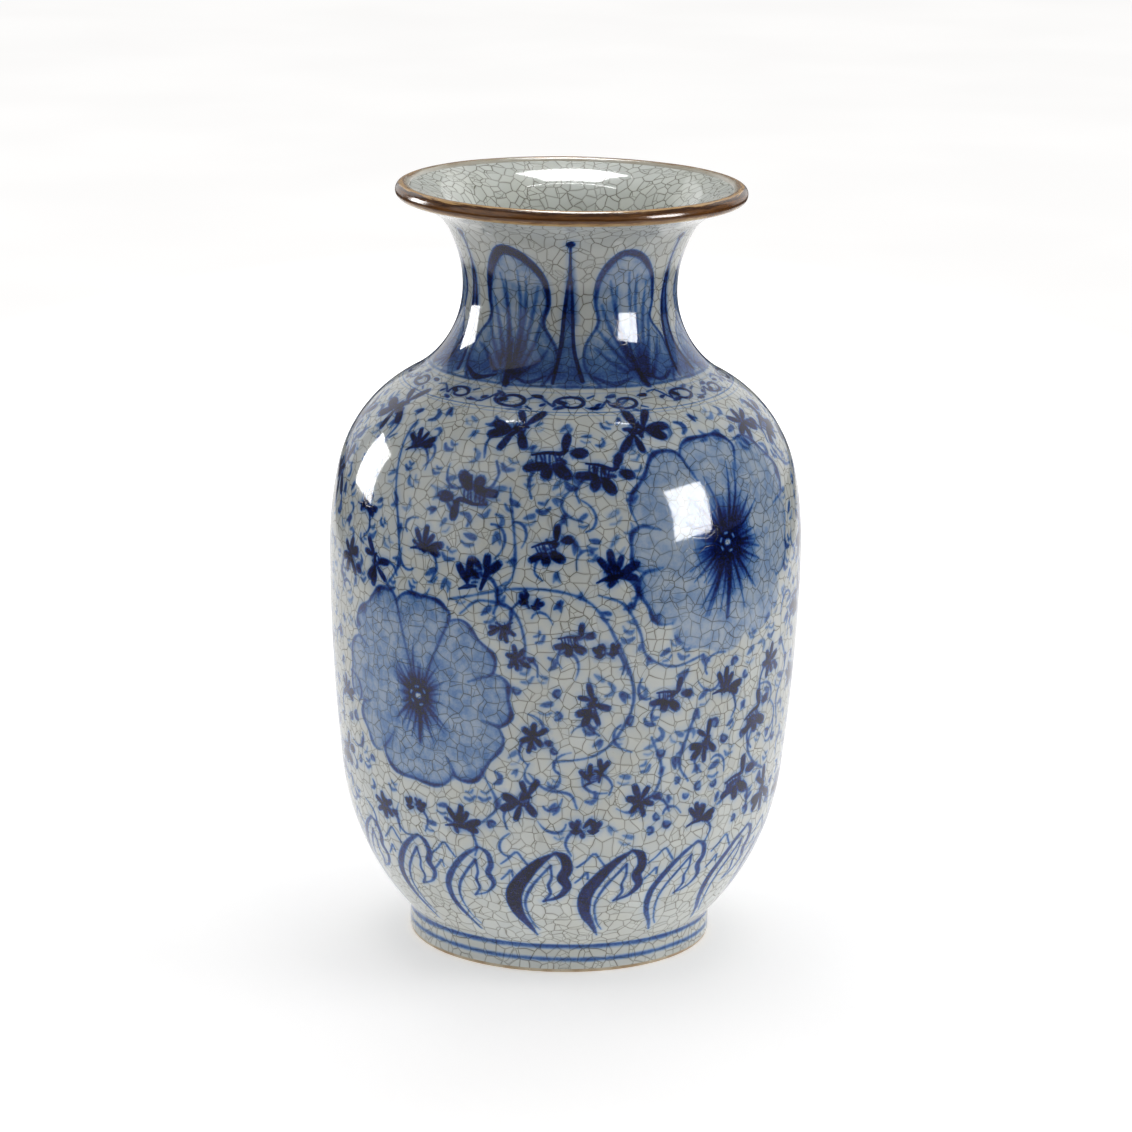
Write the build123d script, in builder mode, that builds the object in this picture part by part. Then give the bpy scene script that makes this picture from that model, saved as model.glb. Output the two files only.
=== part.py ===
"""A crackle-glazed porcelain baluster vase with a turned foot and a rolled, flared lip.

It is built as a potter builds one this tall: thrown in sections, which are joined when leather-hard with
stepped joints and slip. The glaze coats are solids of their own, fused to the clay by the firing.
Millimetres, +Z up, origin at the centre of the foot's resting plane. Every solid is turned about Z.
"""

import math
import os

from build123d import *

# Outside of the finished vase
HEIGHT = 305.0
FOOT_RADIUS = 60.6
FOOT_STRAIGHT = 10.5  # height of the foot's upright face, below its junction with the belly
# Above the foot, the glazed outside is a chain of tangent arcs, each with its radius and turn in degrees.
# A positive turn bends towards the axis, and a negative one away from it.
OUTLINE = {
    "foot_junction": (2.5, -43.5),
    "lower_belly": (101.0, 36.6),
    "belly": (800.0, 6.4),
    "upper_belly": (156.0, 12.0),
    "shoulder": (55.0, 50.0),
    "neck_root": (40.0, -60.4),
    "neck": (49.0, -30.2),
    "flare": (17.5, -34.2),
    "mouth": (60.0, -5.0),
}
UPRIGHT = 90.0  # the outline's heading at the foot, in degrees from +X

# Walls
GLAZE = 0.4
CLAY = 4.2
CLAY_INSIDE = GLAZE + CLAY  # depth of the clay's inner face below the glazed outside
WALL = CLAY_INSIDE + GLAZE

# Joints between the thrown sections, cut square to the wall: the arc each is on, and how far round it
BASE_JOINT = ("lower_belly", 6.5)
BELLY_JOINT = ("belly", 6.4)
NECK_JOINT = ("neck_root", -25.0)
SLIP = 0.3  # thickness of the slip in a joint
TONGUE = 3.0  # height of the step in the middle of a joint

# Lip: a coil of clay rolled on to the neck's edge
LIP_RADIUS = 66.1  # from the axis to the middle of the coil
LIP_ROLL = 3.1  # radius of the glazed roll
COIL_FLAT = 1.2  # from the middle of the coil to the flat that meets the neck

# Foot and floor
FOOT_INSIDE = 54.0
FOOT_EDGE = 1.2  # rounding of the foot's resting edges
RECESS = 10.0  # depth of the hollow under the floor
FLOOR_TOP = 17.0
CORNER = 8.0  # rounding between floor and wall
BARE_FOOT = 1.6  # height of the unglazed edge outside the foot
BARE_RECESS = 3.0  # the same, inside the foot

# Limits of the cutting shapes
ABOVE = 330.0
BELOW = -20.0
BEYOND = 120.0
CUT_REACH = 40.0


def heading_vector(heading):
    return Vector(math.cos(math.radians(heading)), math.sin(math.radians(heading)))


def into_wall(heading):
    """The direction square to the outline, towards the inside of the vase."""
    return heading_vector(heading + 90)


def chain_outline():
    """The arcs by name, each with its centre, first heading and radius (negative bending outwards)."""
    arcs = {}
    point, heading = Vector(FOOT_RADIUS, FOOT_STRAIGHT), UPRIGHT
    for name, (radius, turn) in OUTLINE.items():
        signed_radius = math.copysign(radius, turn)
        centre = point + into_wall(heading) * signed_radius
        arcs[name] = (centre, heading, signed_radius)
        heading += turn
        point = centre - into_wall(heading) * signed_radius
    return arcs, heading


ARCS, LIP_HEADING = chain_outline()
LIP_MIDDLE = Vector(LIP_RADIUS, HEIGHT - LIP_ROLL)


def wall_point(name, turned, depth):
    """The point at this depth below the glazed outside, this far round the named arc."""
    centre, heading, signed_radius = ARCS[name]
    return centre - into_wall(heading + turned) * (signed_radius - depth)


def trace_wall(depth, arcs, skipped, short_of_lip=0.0):
    """Draws the wall's line at this depth, over the named arcs but for the first's skipped degrees.

    It ends on the cone square to the wall, short_of_lip before the middle of the lip's coil, and goes on over
    the top to the axis.
    """
    for name in arcs:
        _, heading, signed_radius = ARCS[name]
        start, tangent = wall_point(name, skipped, depth), heading_vector(heading + skipped)
        last = JernArc(start, tangent, abs(signed_radius - depth), OUTLINE[name][1] - skipped)
        skipped = 0
    along, across = heading_vector(LIP_HEADING), into_wall(LIP_HEADING)
    end = last @ 1 + along * ((LIP_MIDDLE - last @ 1).dot(along) - short_of_lip)
    over = end + across * ((ABOVE - end.Y) / across.Y)
    Polyline(last @ 1, end, over, (0, ABOVE))


def inside_wall(depth, short_of_lip=0.0):
    """The solid inside the wall's line at this depth, from the resting plane up."""
    with BuildPart() as body:
        with BuildSketch(Plane.XZ):
            with BuildLine():
                trace_wall(depth, OUTLINE, 0, short_of_lip)
                foot = FOOT_RADIUS - depth
                Polyline((0, ABOVE), (0, 0), (foot, 0), (foot, FOOT_STRAIGHT))
            make_face()
        revolve(axis=Axis.Z)
    return body.part


def hollow(depth):
    """The hollow of the vase, down to its floor and rounded corner, at this depth below the outside."""
    centre, heading, belly_radius = ARCS["lower_belly"]
    reach = belly_radius - CLAY_INSIDE - CORNER
    corner_heading = math.degrees(math.acos((centre.Y - FLOOR_TOP - CORNER) / reach))
    corner_radius = CORNER + CLAY_INSIDE - depth
    floor_end = centre - into_wall(corner_heading) * reach - Vector(0, corner_radius)
    with BuildPart() as inside:
        with BuildSketch(Plane.XZ):
            with BuildLine():
                Polyline((0, ABOVE), (0, floor_end.Y), floor_end)
                JernArc(floor_end, (1, 0), corner_radius, corner_heading)
                trace_wall(depth, list(OUTLINE)[1:], corner_heading - heading)
            make_face()
        revolve(axis=Axis.Z)
    return inside.part


def below_joint(joint, rise):
    """Everything below a stepped joint, whose tongue is the wall's inner half, with its faces raised."""
    name, turned = joint
    heading = ARCS[name][1] + turned
    along, across = heading_vector(heading), into_wall(heading)
    shoulder = wall_point(name, turned, WALL / 2) + (along - across) * rise
    tongue = shoulder + along * TONGUE
    on_axis = tongue - across * (tongue.X / across.X)
    outer_end = shoulder - across * CUT_REACH
    with BuildPart() as mask:
        with BuildSketch(Plane.XZ):
            with BuildLine():
                Polyline(
                    (0, BELOW),
                    (BEYOND, BELOW),
                    (BEYOND, outer_end.Y),
                    outer_end,
                    shoulder,
                    tongue,
                    (0, on_axis.Y),
                    close=True,
                )
            make_face()
        revolve(axis=Axis.Z)
    return mask.part


def ring(inner, outer, low, high):
    """A plain ring between two radii and two heights."""
    with BuildPart() as turned:
        with BuildSketch(Plane.XZ):
            with BuildLine():
                Polyline((inner, low), (outer, low), (outer, high), (inner, high), close=True)
            make_face()
        revolve(axis=Axis.Z)
    return turned.part


def finish(piece, name):
    piece.part.label = name
    export_step(piece.part, f"parts/{name}.step")
    print(f"{name}: {piece.part.volume:.0f} mm3 in {len(piece.part.solids())} solid")


os.makedirs("parts", exist_ok=True)

inside_glaze = inside_wall(GLAZE)
inside_neck_end = inside_wall(GLAZE, short_of_lip=COIL_FLAT + SLIP)
inside_coil_flat = inside_wall(GLAZE, short_of_lip=COIL_FLAT)
hollow_in_clay = hollow(CLAY_INSIDE)

# ---- clay sections
with BuildPart() as foot_ring:
    add(ring(FOOT_INSIDE, FOOT_RADIUS - GLAZE, 0, RECESS - SLIP))
    fillet(foot_ring.edges().group_by(Axis.Z)[0], FOOT_EDGE)
finish(foot_ring, "foot_ring")

with BuildPart() as base_floor:
    add(inside_glaze)
    add(hollow_in_clay, mode=Mode.SUBTRACT)
    add(below_joint(BASE_JOINT, -SLIP / 2), mode=Mode.INTERSECT)
    add(ring(0, BEYOND, BELOW, RECESS), mode=Mode.SUBTRACT)
finish(base_floor, "base_floor")

with BuildPart() as lower_body:
    add(inside_glaze)
    add(hollow_in_clay, mode=Mode.SUBTRACT)
    add(below_joint(BELLY_JOINT, -SLIP / 2), mode=Mode.INTERSECT)
    add(below_joint(BASE_JOINT, SLIP / 2), mode=Mode.SUBTRACT)
finish(lower_body, "lower_body")

with BuildPart() as upper_body:
    add(inside_glaze)
    add(hollow_in_clay, mode=Mode.SUBTRACT)
    add(below_joint(NECK_JOINT, -SLIP / 2), mode=Mode.INTERSECT)
    add(below_joint(BELLY_JOINT, SLIP / 2), mode=Mode.SUBTRACT)
finish(upper_body, "upper_body")

with BuildPart() as neck:
    add(inside_neck_end)
    add(hollow_in_clay, mode=Mode.SUBTRACT)
    add(below_joint(NECK_JOINT, SLIP / 2), mode=Mode.SUBTRACT)
finish(neck, "neck")

with BuildPart() as lip_roll:
    with BuildSketch(Plane.XZ):
        with Locations(LIP_MIDDLE):
            Circle(LIP_ROLL)
    revolve(axis=Axis.Z)

with BuildPart() as lip_coil:
    with BuildSketch(Plane.XZ):
        with Locations(LIP_MIDDLE):
            Circle(LIP_ROLL - GLAZE)
    revolve(axis=Axis.Z)
    add(inside_coil_flat, mode=Mode.SUBTRACT)
finish(lip_coil, "lip_coil")

# ---- slip in the joints
with BuildPart() as foot_slip:
    add(ring(FOOT_INSIDE, FOOT_RADIUS - GLAZE, RECESS - SLIP, RECESS))
finish(foot_slip, "foot_slip")

for joint, name in ((BASE_JOINT, "base_slip"), (BELLY_JOINT, "belly_slip"), (NECK_JOINT, "neck_slip")):
    with BuildPart() as joint_slip:
        add(inside_glaze)
        add(hollow_in_clay, mode=Mode.SUBTRACT)
        add(below_joint(joint, SLIP / 2), mode=Mode.INTERSECT)
        add(below_joint(joint, -SLIP / 2), mode=Mode.SUBTRACT)
    finish(joint_slip, name)

with BuildPart() as lip_slip:
    add(inside_coil_flat)
    add(inside_neck_end, mode=Mode.SUBTRACT)
    add(hollow_in_clay, mode=Mode.SUBTRACT)
finish(lip_slip, "lip_slip")

# ---- glaze coats
with BuildPart() as outer_glaze:
    add(inside_wall(0.0))
    add(inside_glaze, mode=Mode.SUBTRACT)
    add(lip_roll.part, mode=Mode.SUBTRACT)
    add(ring(0, BEYOND, BELOW, BARE_FOOT), mode=Mode.SUBTRACT)
finish(outer_glaze, "outer_glaze")

with BuildPart() as inner_glaze:
    add(hollow_in_clay)
    add(hollow(WALL), mode=Mode.SUBTRACT)
    add(lip_roll.part, mode=Mode.SUBTRACT)
finish(inner_glaze, "inner_glaze")

with BuildPart() as lip_glaze:
    add(lip_roll.part)
    add(lip_coil.part, mode=Mode.SUBTRACT)
    add(neck.part, mode=Mode.SUBTRACT)
    add(lip_slip.part, mode=Mode.SUBTRACT)
finish(lip_glaze, "lip_glaze")

with BuildPart() as recess_glaze:
    add(ring(0, FOOT_INSIDE, BARE_RECESS, RECESS))
    add(ring(0, FOOT_INSIDE - GLAZE, BELOW, RECESS - GLAZE), mode=Mode.SUBTRACT)
finish(recess_glaze, "recess_glaze")
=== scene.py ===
"""The looks of a crackle-glazed baluster vase, painted in cobalt under the glaze, around its CAD frame.

The outside is drawn on a conformal chart of the wall: x is the azimuth in radians, and y is the integral of
dv/r, where v is the distance up the wall. Brush strokes cut the mesh along their edges, and how much cobalt
each vertex carries is a vertex attribute, which the glaze's material turns into colour. The crackle, the
mottling and the unevenness are procedural.
Lengths are in millimetres until a mesh is made. Azimuth 0 faces -Y, and it grows towards +X.
"""

import math

import bpy
import numpy as np
from mathutils import Matrix, Vector, geometry, kdtree


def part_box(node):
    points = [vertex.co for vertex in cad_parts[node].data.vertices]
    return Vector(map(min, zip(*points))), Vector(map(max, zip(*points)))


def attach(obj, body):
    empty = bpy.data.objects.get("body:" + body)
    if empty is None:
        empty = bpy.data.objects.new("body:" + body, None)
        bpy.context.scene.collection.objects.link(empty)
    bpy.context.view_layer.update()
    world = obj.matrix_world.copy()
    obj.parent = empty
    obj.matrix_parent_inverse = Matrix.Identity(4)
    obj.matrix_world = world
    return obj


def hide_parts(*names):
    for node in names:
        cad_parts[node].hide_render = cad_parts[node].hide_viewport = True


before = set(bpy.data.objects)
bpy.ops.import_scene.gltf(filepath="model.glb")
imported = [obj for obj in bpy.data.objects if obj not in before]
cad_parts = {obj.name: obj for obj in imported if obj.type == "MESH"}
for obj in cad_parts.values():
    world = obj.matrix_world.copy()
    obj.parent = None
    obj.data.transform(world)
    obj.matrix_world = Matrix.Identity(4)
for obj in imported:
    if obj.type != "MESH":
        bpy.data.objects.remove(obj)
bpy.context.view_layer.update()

MM = 0.001

# ---- the vase's shape, as the CAD has it
FOOT_RADIUS = 60.6
FOOT_STRAIGHT = 10.5
# Tangent arcs of the outside from the foot to the mouth: radius, and turn in degrees towards the axis
OUTLINE = (
    (2.5, -43.5), (101.0, 36.6), (800.0, 6.4), (156.0, 12.0), (55.0, 50.0),
    (40.0, -60.4), (49.0, -30.2), (17.5, -34.2), (60.0, -5.0),
)
LIP_RADIUS, LIP_HEIGHT, LIP_ROLL = 66.1, 301.9, 3.1
GLAZE = 0.4
WALL = 5.0
FLOOR_TOP = 17.4  # of the glaze, as is the corner's rounding
CORNER = 7.6
RECESS, RECESS_RADIUS, BARE_RECESS = 10.0, 54.0, 3.0
BARE_FOOT = 1.6
# Where the roll of the lip meets the wall's face, and the clay just under it, short of the coil's middle
FACE_CONTACT = math.sqrt(LIP_ROLL**2 - (WALL / 2) ** 2)
CLAY_CONTACT = math.sqrt(LIP_ROLL**2 - (WALL / 2 - GLAZE) ** 2)

draw = np.random.default_rng(20)


class Profile:
    """The wall's outline: radius, height and heading at any distance up it from the resting plane."""

    def __init__(self):
        heading, radius, height, up = math.pi / 2, FOOT_RADIUS, FOOT_STRAIGHT, FOOT_STRAIGHT
        self.arcs = []
        for bend, turn in OUTLINE:
            turn = math.radians(turn)
            signed = math.copysign(bend, turn)
            centre = (radius - math.sin(heading) * signed, height + math.cos(heading) * signed)
            self.arcs.append((up, up + bend * abs(turn), centre, heading, signed))
            up += bend * abs(turn)
            heading += turn
            radius = centre[0] + math.sin(heading) * signed
            height = centre[1] - math.cos(heading) * signed
        self.arcs_end, self.end_point, self.end_heading = up, (radius, height), heading
        across = (LIP_RADIUS - radius, LIP_HEIGHT - height)
        self.length = up + across[0] * math.cos(heading) + across[1] * math.sin(heading)
        self.steps = np.linspace(0, self.length, 4001)
        radii = self.at(self.steps)[0]
        self.stretch = np.concatenate([[0], np.cumsum(np.diff(self.steps) * 2 / (radii[1:] + radii[:-1]))])

    def at(self, up, depth=0.0):
        """Radius, height and heading at this distance up and this depth below the outside."""
        up = np.asarray(up, float)
        depth = np.broadcast_to(np.asarray(depth, float), up.shape)
        radius = FOOT_RADIUS - depth
        height = up.copy()
        heading = np.full(up.shape, math.pi / 2)
        for low, high, centre, first, signed in self.arcs:
            on = (up >= low) & (up <= high)
            angle = first + (up[on] - low) / signed
            heading[on] = angle
            radius[on] = centre[0] + np.sin(angle) * (signed - depth[on])
            height[on] = centre[1] - np.cos(angle) * (signed - depth[on])
        on = up > self.arcs_end
        sine, cosine = math.sin(self.end_heading), math.cos(self.end_heading)
        heading[on] = self.end_heading
        radius[on] = self.end_point[0] + (up[on] - self.arcs_end) * cosine - sine * depth[on]
        height[on] = self.end_point[1] + (up[on] - self.arcs_end) * sine + cosine * depth[on]
        return radius, height, heading

    def radius_at(self, up):
        return float(self.at(np.array([up]))[0][0])

    def to_chart(self, azimuth, up):
        return np.column_stack([np.radians(azimuth), np.interp(up, self.steps, self.stretch)])

    def up_at(self, chart_y):
        return np.interp(chart_y, self.stretch, self.steps)


profile = Profile()
TOP = profile.length - FACE_CONTACT


# ---- the brush
def smooth_curve(points, count):
    """A Catmull-Rom curve through the points."""
    p = np.asarray(points, float)
    if len(p) == 2:
        t = np.linspace(0, 1, count)[:, None]
        return p[0] * (1 - t) + p[1] * t
    q = np.vstack([2 * p[0] - p[1], p, 2 * p[-1] - p[-2]])
    t = np.linspace(0, len(p) - 1, count)
    i = np.minimum(t.astype(int), len(p) - 2)
    t = (t - i)[:, None]
    a, b, c, d = q[i], q[i + 1], q[i + 2], q[i + 3]
    cubic = (3 * b - a - 3 * c + d) * t**3
    return 0.5 * (2 * b + (c - a) * t + (2 * a - 5 * b + 4 * c - d) * t**2 + cubic)


def wrap(angle):
    return (angle + math.pi) % (2 * math.pi) - math.pi


BLEED = 2.6  # how far cobalt seeps into the glaze round a stroke
BLEED_TONE = 0.19  # how blue that is at the stroke's edge
MOST_BLEED = 0.3  # how blue strokes that lie close together can make it


class Painting:
    """Strokes, washes and reserves in cobalt, kept in chart units, and rings in millimetres."""

    def __init__(self):
        self.strokes, self.reserves, self.washes, self.rings = [], [], [], []
        self.place = (0.0, 0.0, 0.0, 1.0)

    def at(self, azimuth, up, turn=0.0, size=1.0):
        """Sets where the next local points lie: degrees round, millimetres up, degrees turned, scale."""
        self.place = (azimuth, up, math.radians(turn), size)

    def on_wall(self, points):
        """Degrees round and millimetres up from the current place, as local millimetres."""
        points = np.asarray(points, float)
        radius = profile.at(self.place[1] + points[:, 1])[0]
        return np.column_stack([np.radians(points[:, 0]) * radius, points[:, 1]])

    def chart(self, points):
        azimuth, up, turn, size = self.place
        p = np.asarray(points, float) * size
        x = p[:, 0] * math.cos(turn) - p[:, 1] * math.sin(turn)
        y = p[:, 0] * math.sin(turn) + p[:, 1] * math.cos(turn) + up
        radius = profile.at(np.clip(y, 0, profile.length))[0]
        return profile.to_chart(azimuth + np.degrees(x / radius), y), radius

    def stroke(self, points, half_widths, tone, soft=0.5, reserve=False, count=None):
        """One brush stroke. Half-widths and tones are spread evenly along it."""
        size = self.place[3]
        length = np.hypot(*np.diff(np.asarray(points, float), axis=0).T).sum() * size
        count = count or int(np.clip(length / 1.1, 7, 60))
        path, radius = self.chart(smooth_curve(points, count))
        t = np.linspace(0, 1, count)
        half_widths, tones = np.atleast_1d(half_widths), np.atleast_1d(tone)
        half = np.interp(t, np.linspace(0, 1, len(half_widths)), half_widths) * size
        tones = np.interp(t, np.linspace(0, 1, len(tones)), tones)
        target = self.reserves if reserve else self.strokes
        target.append((path, half / radius, tones, soft / radius.mean()))

    def leaf(self, base, heading, length, breadth, tone, bend=0.0, belly=0.7, soft=0.8):
        """A loaded dab of the brush: a thin start, fullest at belly, and a round end."""
        t = np.linspace(0, 1, 9)
        heading = np.radians(heading + bend * (t - 0.5))
        step = max(length - 0.4 * breadth, 0.5 * length) / 8
        x = base[0] + np.concatenate([[0], np.cumsum(np.cos(heading[:-1]) * step)])
        y = base[1] + np.concatenate([[0], np.cumsum(np.sin(heading[:-1]) * step)])
        power = math.log(0.7) / math.log(belly)
        half = breadth / 2 * np.sin(math.pi * (0.08 + 0.6 * t**power))
        self.stroke(np.column_stack([x, y]), half, tone, soft, count=10)

    def wash(self, points, tone, soft=1.0, count=80):
        closed = np.vstack([points, points[:1]])
        path, radius = self.chart(smooth_curve(closed, count)[:-1])
        self.washes.append((path, tone, soft / radius.mean()))


def ring_height(ring, azimuth):
    up, _, _, _, wobble, phase = ring
    waves = np.sin(azimuth + phase) + 0.5 * np.sin(3 * azimuth + 2 * phase)
    return up + wobble * (waves + 0.35 * np.sin(7 * azimuth + phase))


def gap_to_path(points, path):
    """Distance from each point to each segment of a path, and how far along the segment that is."""
    start, along = path[:-1], np.diff(path, axis=0)
    rel = points[:, None, :] - start[None]
    t = np.clip((rel * along).sum(-1) / np.maximum((along * along).sum(-1), 1e-18), 0, 1)
    return np.hypot(*(rel - t[..., None] * along).transpose(2, 0, 1)), t


def inside_polygon(points, polygon):
    x, y = points[:, :1], points[:, 1:]
    x0, y0 = polygon.T
    x1, y1 = np.roll(polygon, -1, axis=0).T
    rise = np.where(y1 == y0, 1e-12, y1 - y0)
    crossed = ((y0 > y) != (y1 > y)) & (x < (x1 - x0) * (y - y0) / rise + x0)
    return crossed.sum(1) % 2 == 1


def cobalt_at(painting, chart_points):
    """How much cobalt lies at each chart point, from 0 to 1."""
    order = np.argsort(chart_points[:, 1])
    pts = chart_points[order]
    wash, lines, kept = np.zeros(len(pts)), np.zeros(len(pts)), np.ones(len(pts))
    clear = np.ones(len(pts))

    def near(path, reach):
        low, high = np.searchsorted(pts[:, 1], [path[:, 1].min() - reach, path[:, 1].max() + reach])
        middle = 0.5 * (path[:, 0].min() + path[:, 0].max())
        local = pts[low:high].copy()
        local[:, 0] = middle + wrap(local[:, 0] - middle)
        close = np.abs(local[:, 0] - middle) <= np.ptp(path[:, 0]) / 2 + reach
        return np.arange(low, high)[close], local[close]

    for path, tone, soft in painting.washes:
        index, local = near(path, soft)
        gap = gap_to_path(local, np.vstack([path, path[:1]]))[0].min(1, initial=np.inf)
        signed = gap * np.where(inside_polygon(local, path), -1, 1)
        wash[index] = np.maximum(wash[index], tone * np.clip(0.5 - signed / soft, 0, 1))
    up = profile.up_at(pts[:, 1])
    for ring in painting.rings:
        _, half, tone, soft, _, _ = ring
        gap = np.abs(up - ring_height(ring, pts[:, 0]))
        lines = 1 - (1 - lines) * (1 - tone * np.clip(0.5 + (half - gap) / soft, 0, 1))
    for strokes, reserve in ((painting.strokes, False), (painting.reserves, True)):
        for path, half, tones, soft in strokes:
            bleed = BLEED / profile.radius_at(profile.up_at(path[0, 1]))
            index, local = near(path, half.max() + max(soft, bleed))
            if not len(index):
                continue
            gap, t = gap_to_path(local, path)
            gap = gap - (half[:-1] * (1 - t) + half[1:] * t)
            best = gap.argmin(1)
            rows = np.arange(len(index))
            t, gap = t[rows, best], gap[rows, best]
            tone = tones[best] * (1 - t) + tones[best + 1] * t
            cover = np.clip(0.5 - gap / soft, 0, 1) * tone
            if reserve:
                kept[index] *= 1 - cover
            else:
                lines[index] = 1 - (1 - lines[index]) * (1 - cover)
                clear[index] *= 1 - BLEED_TONE * tone * np.clip(1 - gap / bleed, 0, 1) ** 1.5
    amount = np.zeros(len(pts))
    amount[order] = (1 - (1 - wash) * (1 - lines) * np.maximum(clear, 1 - MOST_BLEED)) * kept
    return amount


# ---- motifs, each in local millimetres
def unsure():
    return draw.uniform(-1.0, 1.0)


def leaves(p, tone, *rows):
    """Dabs: each has its base, heading, that one's unsureness, length, breadth and perhaps bend and belly."""
    for x, y, heading, spread, length, breadth, *shape in rows:
        p.leaf((x, y), heading + spread * unsure(), length, breadth, tone, *shape)


def hatch(p, base, along, across, count, tone):
    """Short lines side by side: the first at base, the last at base + along, each drawn across."""
    for k in range(count):
        start = np.add(base, np.multiply(along, k / max(count - 1, 1))) + (0.35 * unsure(), 0.4 * unsure())
        reach = np.multiply(across, 1 + 0.35 * unsure()) + (0.5 * unsure(), 0.3 * unsure())
        middle = start + reach / 2 + (0.3 * unsure(), 0.1)
        p.stroke([start, middle, start + reach], [0.3, 0.42, 0.2], tone, 0.6, count=5)


def sprig_comb(p, tone):
    p.stroke([(-7, 2.5), (-2, 3.6), (3, 3.4), (5, 5)], [0.35, 0.6, 0.9, 0.7], tone)
    hatch(p, (-5.5, 2.8), (7.5, 0.6), (1.0, -4.6), 6, tone * 0.85)
    leaves(p, tone, (-1.5, -1.6, 190, 8, 8.5, 3.4, 25, 0.35), (-1.0, -1.2, 262, 8, 6.0, 4.2),
           (0.5, -1.0, 322, 8, 8.0, 4.6), (2.0, -0.5, 290, 6, 5.0, 3.6), (4.0, 4.0, 84, 10, 7.5, 3.3),
           (6.5, 3.5, 4, 10, 6.0, 4.2))


def sprig_bird(p, tone):
    leaves(p, tone, (-1, 0, 165, 10, 8.0, 4.0), (-1, 0, 205, 8, 9.0, 3.8, -15), (0, -1, 258, 10, 8.5, 2.8),
           (3, 0, 300, 8, 7.5, 3.4, 20), (3, 3, 62, 10, 9.0, 3.0), (2.5, 3.5, 118, 10, 7.0, 2.6))
    hatch(p, (0, 3), (3.5, -1.0), (-0.6, -4.2), 5, tone * 0.85)
    p.stroke([(0, 1), (3, 2.6), (4.5, 2.4)], [0.6, 1.0, 0.4], tone)


def sprig_tuft(p, tone):
    leaves(p, tone, (0, 0, 122, 8, 7.5, 2.4), (0.8, 0, 88, 8, 8.5, 2.6), (1.6, 0, 56, 8, 6.5, 2.2))
    p.stroke([(-5.5, -1.8), (-2, -1.0), (2, -1.2), (6, 0.4)], [0.3, 0.7, 0.8, 0.3], tone * 0.9)
    leaves(p, tone, (2.5, -0.6, 12, 8, 8.0, 3.2), (2.5, -0.8, 340, 8, 6.5, 2.8))
    hatch(p, (-1.5, 0.6), (4.0, 0.3), (0.5, -2.6), 5, tone * 0.8)


def sprig_twig(p, tone):
    leaves(p, tone, (-3, -4, 84, 6, 9.0, 2.6), (-3, -4, 118, 6, 7.5, 2.6))
    hatch(p, (-1.5, 0), (0, -3.8), (2.2, 0.5), 4, tone * 0.7)
    p.stroke([(-6, -6.2), (-3, -5.0), (0, -4.6)], [0.3, 0.8, 0.4], tone * 0.8)
    p.stroke([(1.5, -5.5), (3.0, -1.5), (3.6, 1)], [0.5, 0.9, 1.0], tone)
    leaves(p, tone, (3.2, 0, 88, 6, 6.5, 2.6), (3.0, -1, 44, 6, 7.5, 2.8))


def sprig_star(p, tone):
    for heading in (20, 75, 128, 190, 248, 305):
        turn = math.radians(heading)
        base = (0.6 * math.cos(turn), 0.6 * math.sin(turn))
        heading += 10 * unsure()
        length, breadth = 6.8 + 1.2 * unsure(), 2.7 + 0.4 * unsure()
        p.leaf(base, heading, length, breadth, tone, bend=14 * unsure())
    hatch(p, (-2.4, -0.6), (3.8, 0.4), (0.3, -3.0), 5, tone * 0.75)
    p.leaf((5.0, -3.0), 335, 4.0, 3.2, tone * 0.9)


def sprig_pair(p, tone):
    for x, turn in ((-3.5, 100), (3.5, 70)):
        p.leaf((x, -1.5), turn + 20, 5.0, 2.4, tone)
        p.leaf((x, -1.5), turn - 22, 5.4, 2.6, tone)
        p.stroke([(x - 2, -1.6), (x, -2.2), (x + 2.2, -1.5)], [0.5, 1.2, 0.5], tone * 0.95)


def blots(p, tone, count):
    """Small dabs over a sprig's middle, which make each one different."""
    for _ in range(count):
        heading, breadth = draw.uniform(0, 360), draw.uniform(1.3, 2.3)
        base, length = (2.6 * unsure(), 1.8 * unsure()), draw.uniform(2.8, 5.2)
        p.leaf(base, heading, length, breadth, tone * draw.uniform(0.7, 1.0))


def stem(p, side, tone=0.7):
    end = side * (5.5 + unsure())
    p.stroke([(side * 2, -1), (side * 5.5, -3 + unsure()), (side * 7.5, -8 + unsure()), (end, -13)],
             [0.6, 0.6, 0.5, 0.4], [tone + 0.1, tone - 0.2], 0.9)


def dab(p, azimuth, up, turn, size, tone):
    """A small pale comma or two, to fill the ground."""
    p.at(azimuth, up, turn, size)
    soft = 1.1
    kind = draw.integers(4)
    if kind == 0:
        p.stroke([(-1.7, 0.4), (-0.3, -0.6), (1.6, 0.1)], [0.4, 0.8, 0.35], tone, soft, count=6)
        p.stroke([(-0.7, 2.2), (0.6, 1.5), (1.7, 2.2)], [0.3, 0.65, 0.3], tone * 0.8, soft, count=6)
    elif kind == 1:
        hook = [(-1.3, 1.8), (0.3, 0.9), (0.4, -0.8), (-0.9, -1.8)]
        p.stroke(hook, [0.35, 0.75, 0.8, 0.35], tone, soft, count=7)
    elif kind == 2:
        p.leaf((-1.4, 0), 10 + 20 * unsure(), 3.6, 1.7, tone, soft=soft)
        p.stroke([(-1.6, -1.9), (0, -2.5), (1.5, -1.9)], [0.3, 0.55, 0.3], tone * 0.75, soft, count=6)
    else:
        p.leaf((-0.9, -0.9), 70 + 20 * unsure(), 3.4, 1.5, tone, soft=1.0)
        p.leaf((1.0, -0.9), 110 + 20 * unsure(), 3.0, 1.3, tone * 0.85, soft=1.0)


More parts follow.
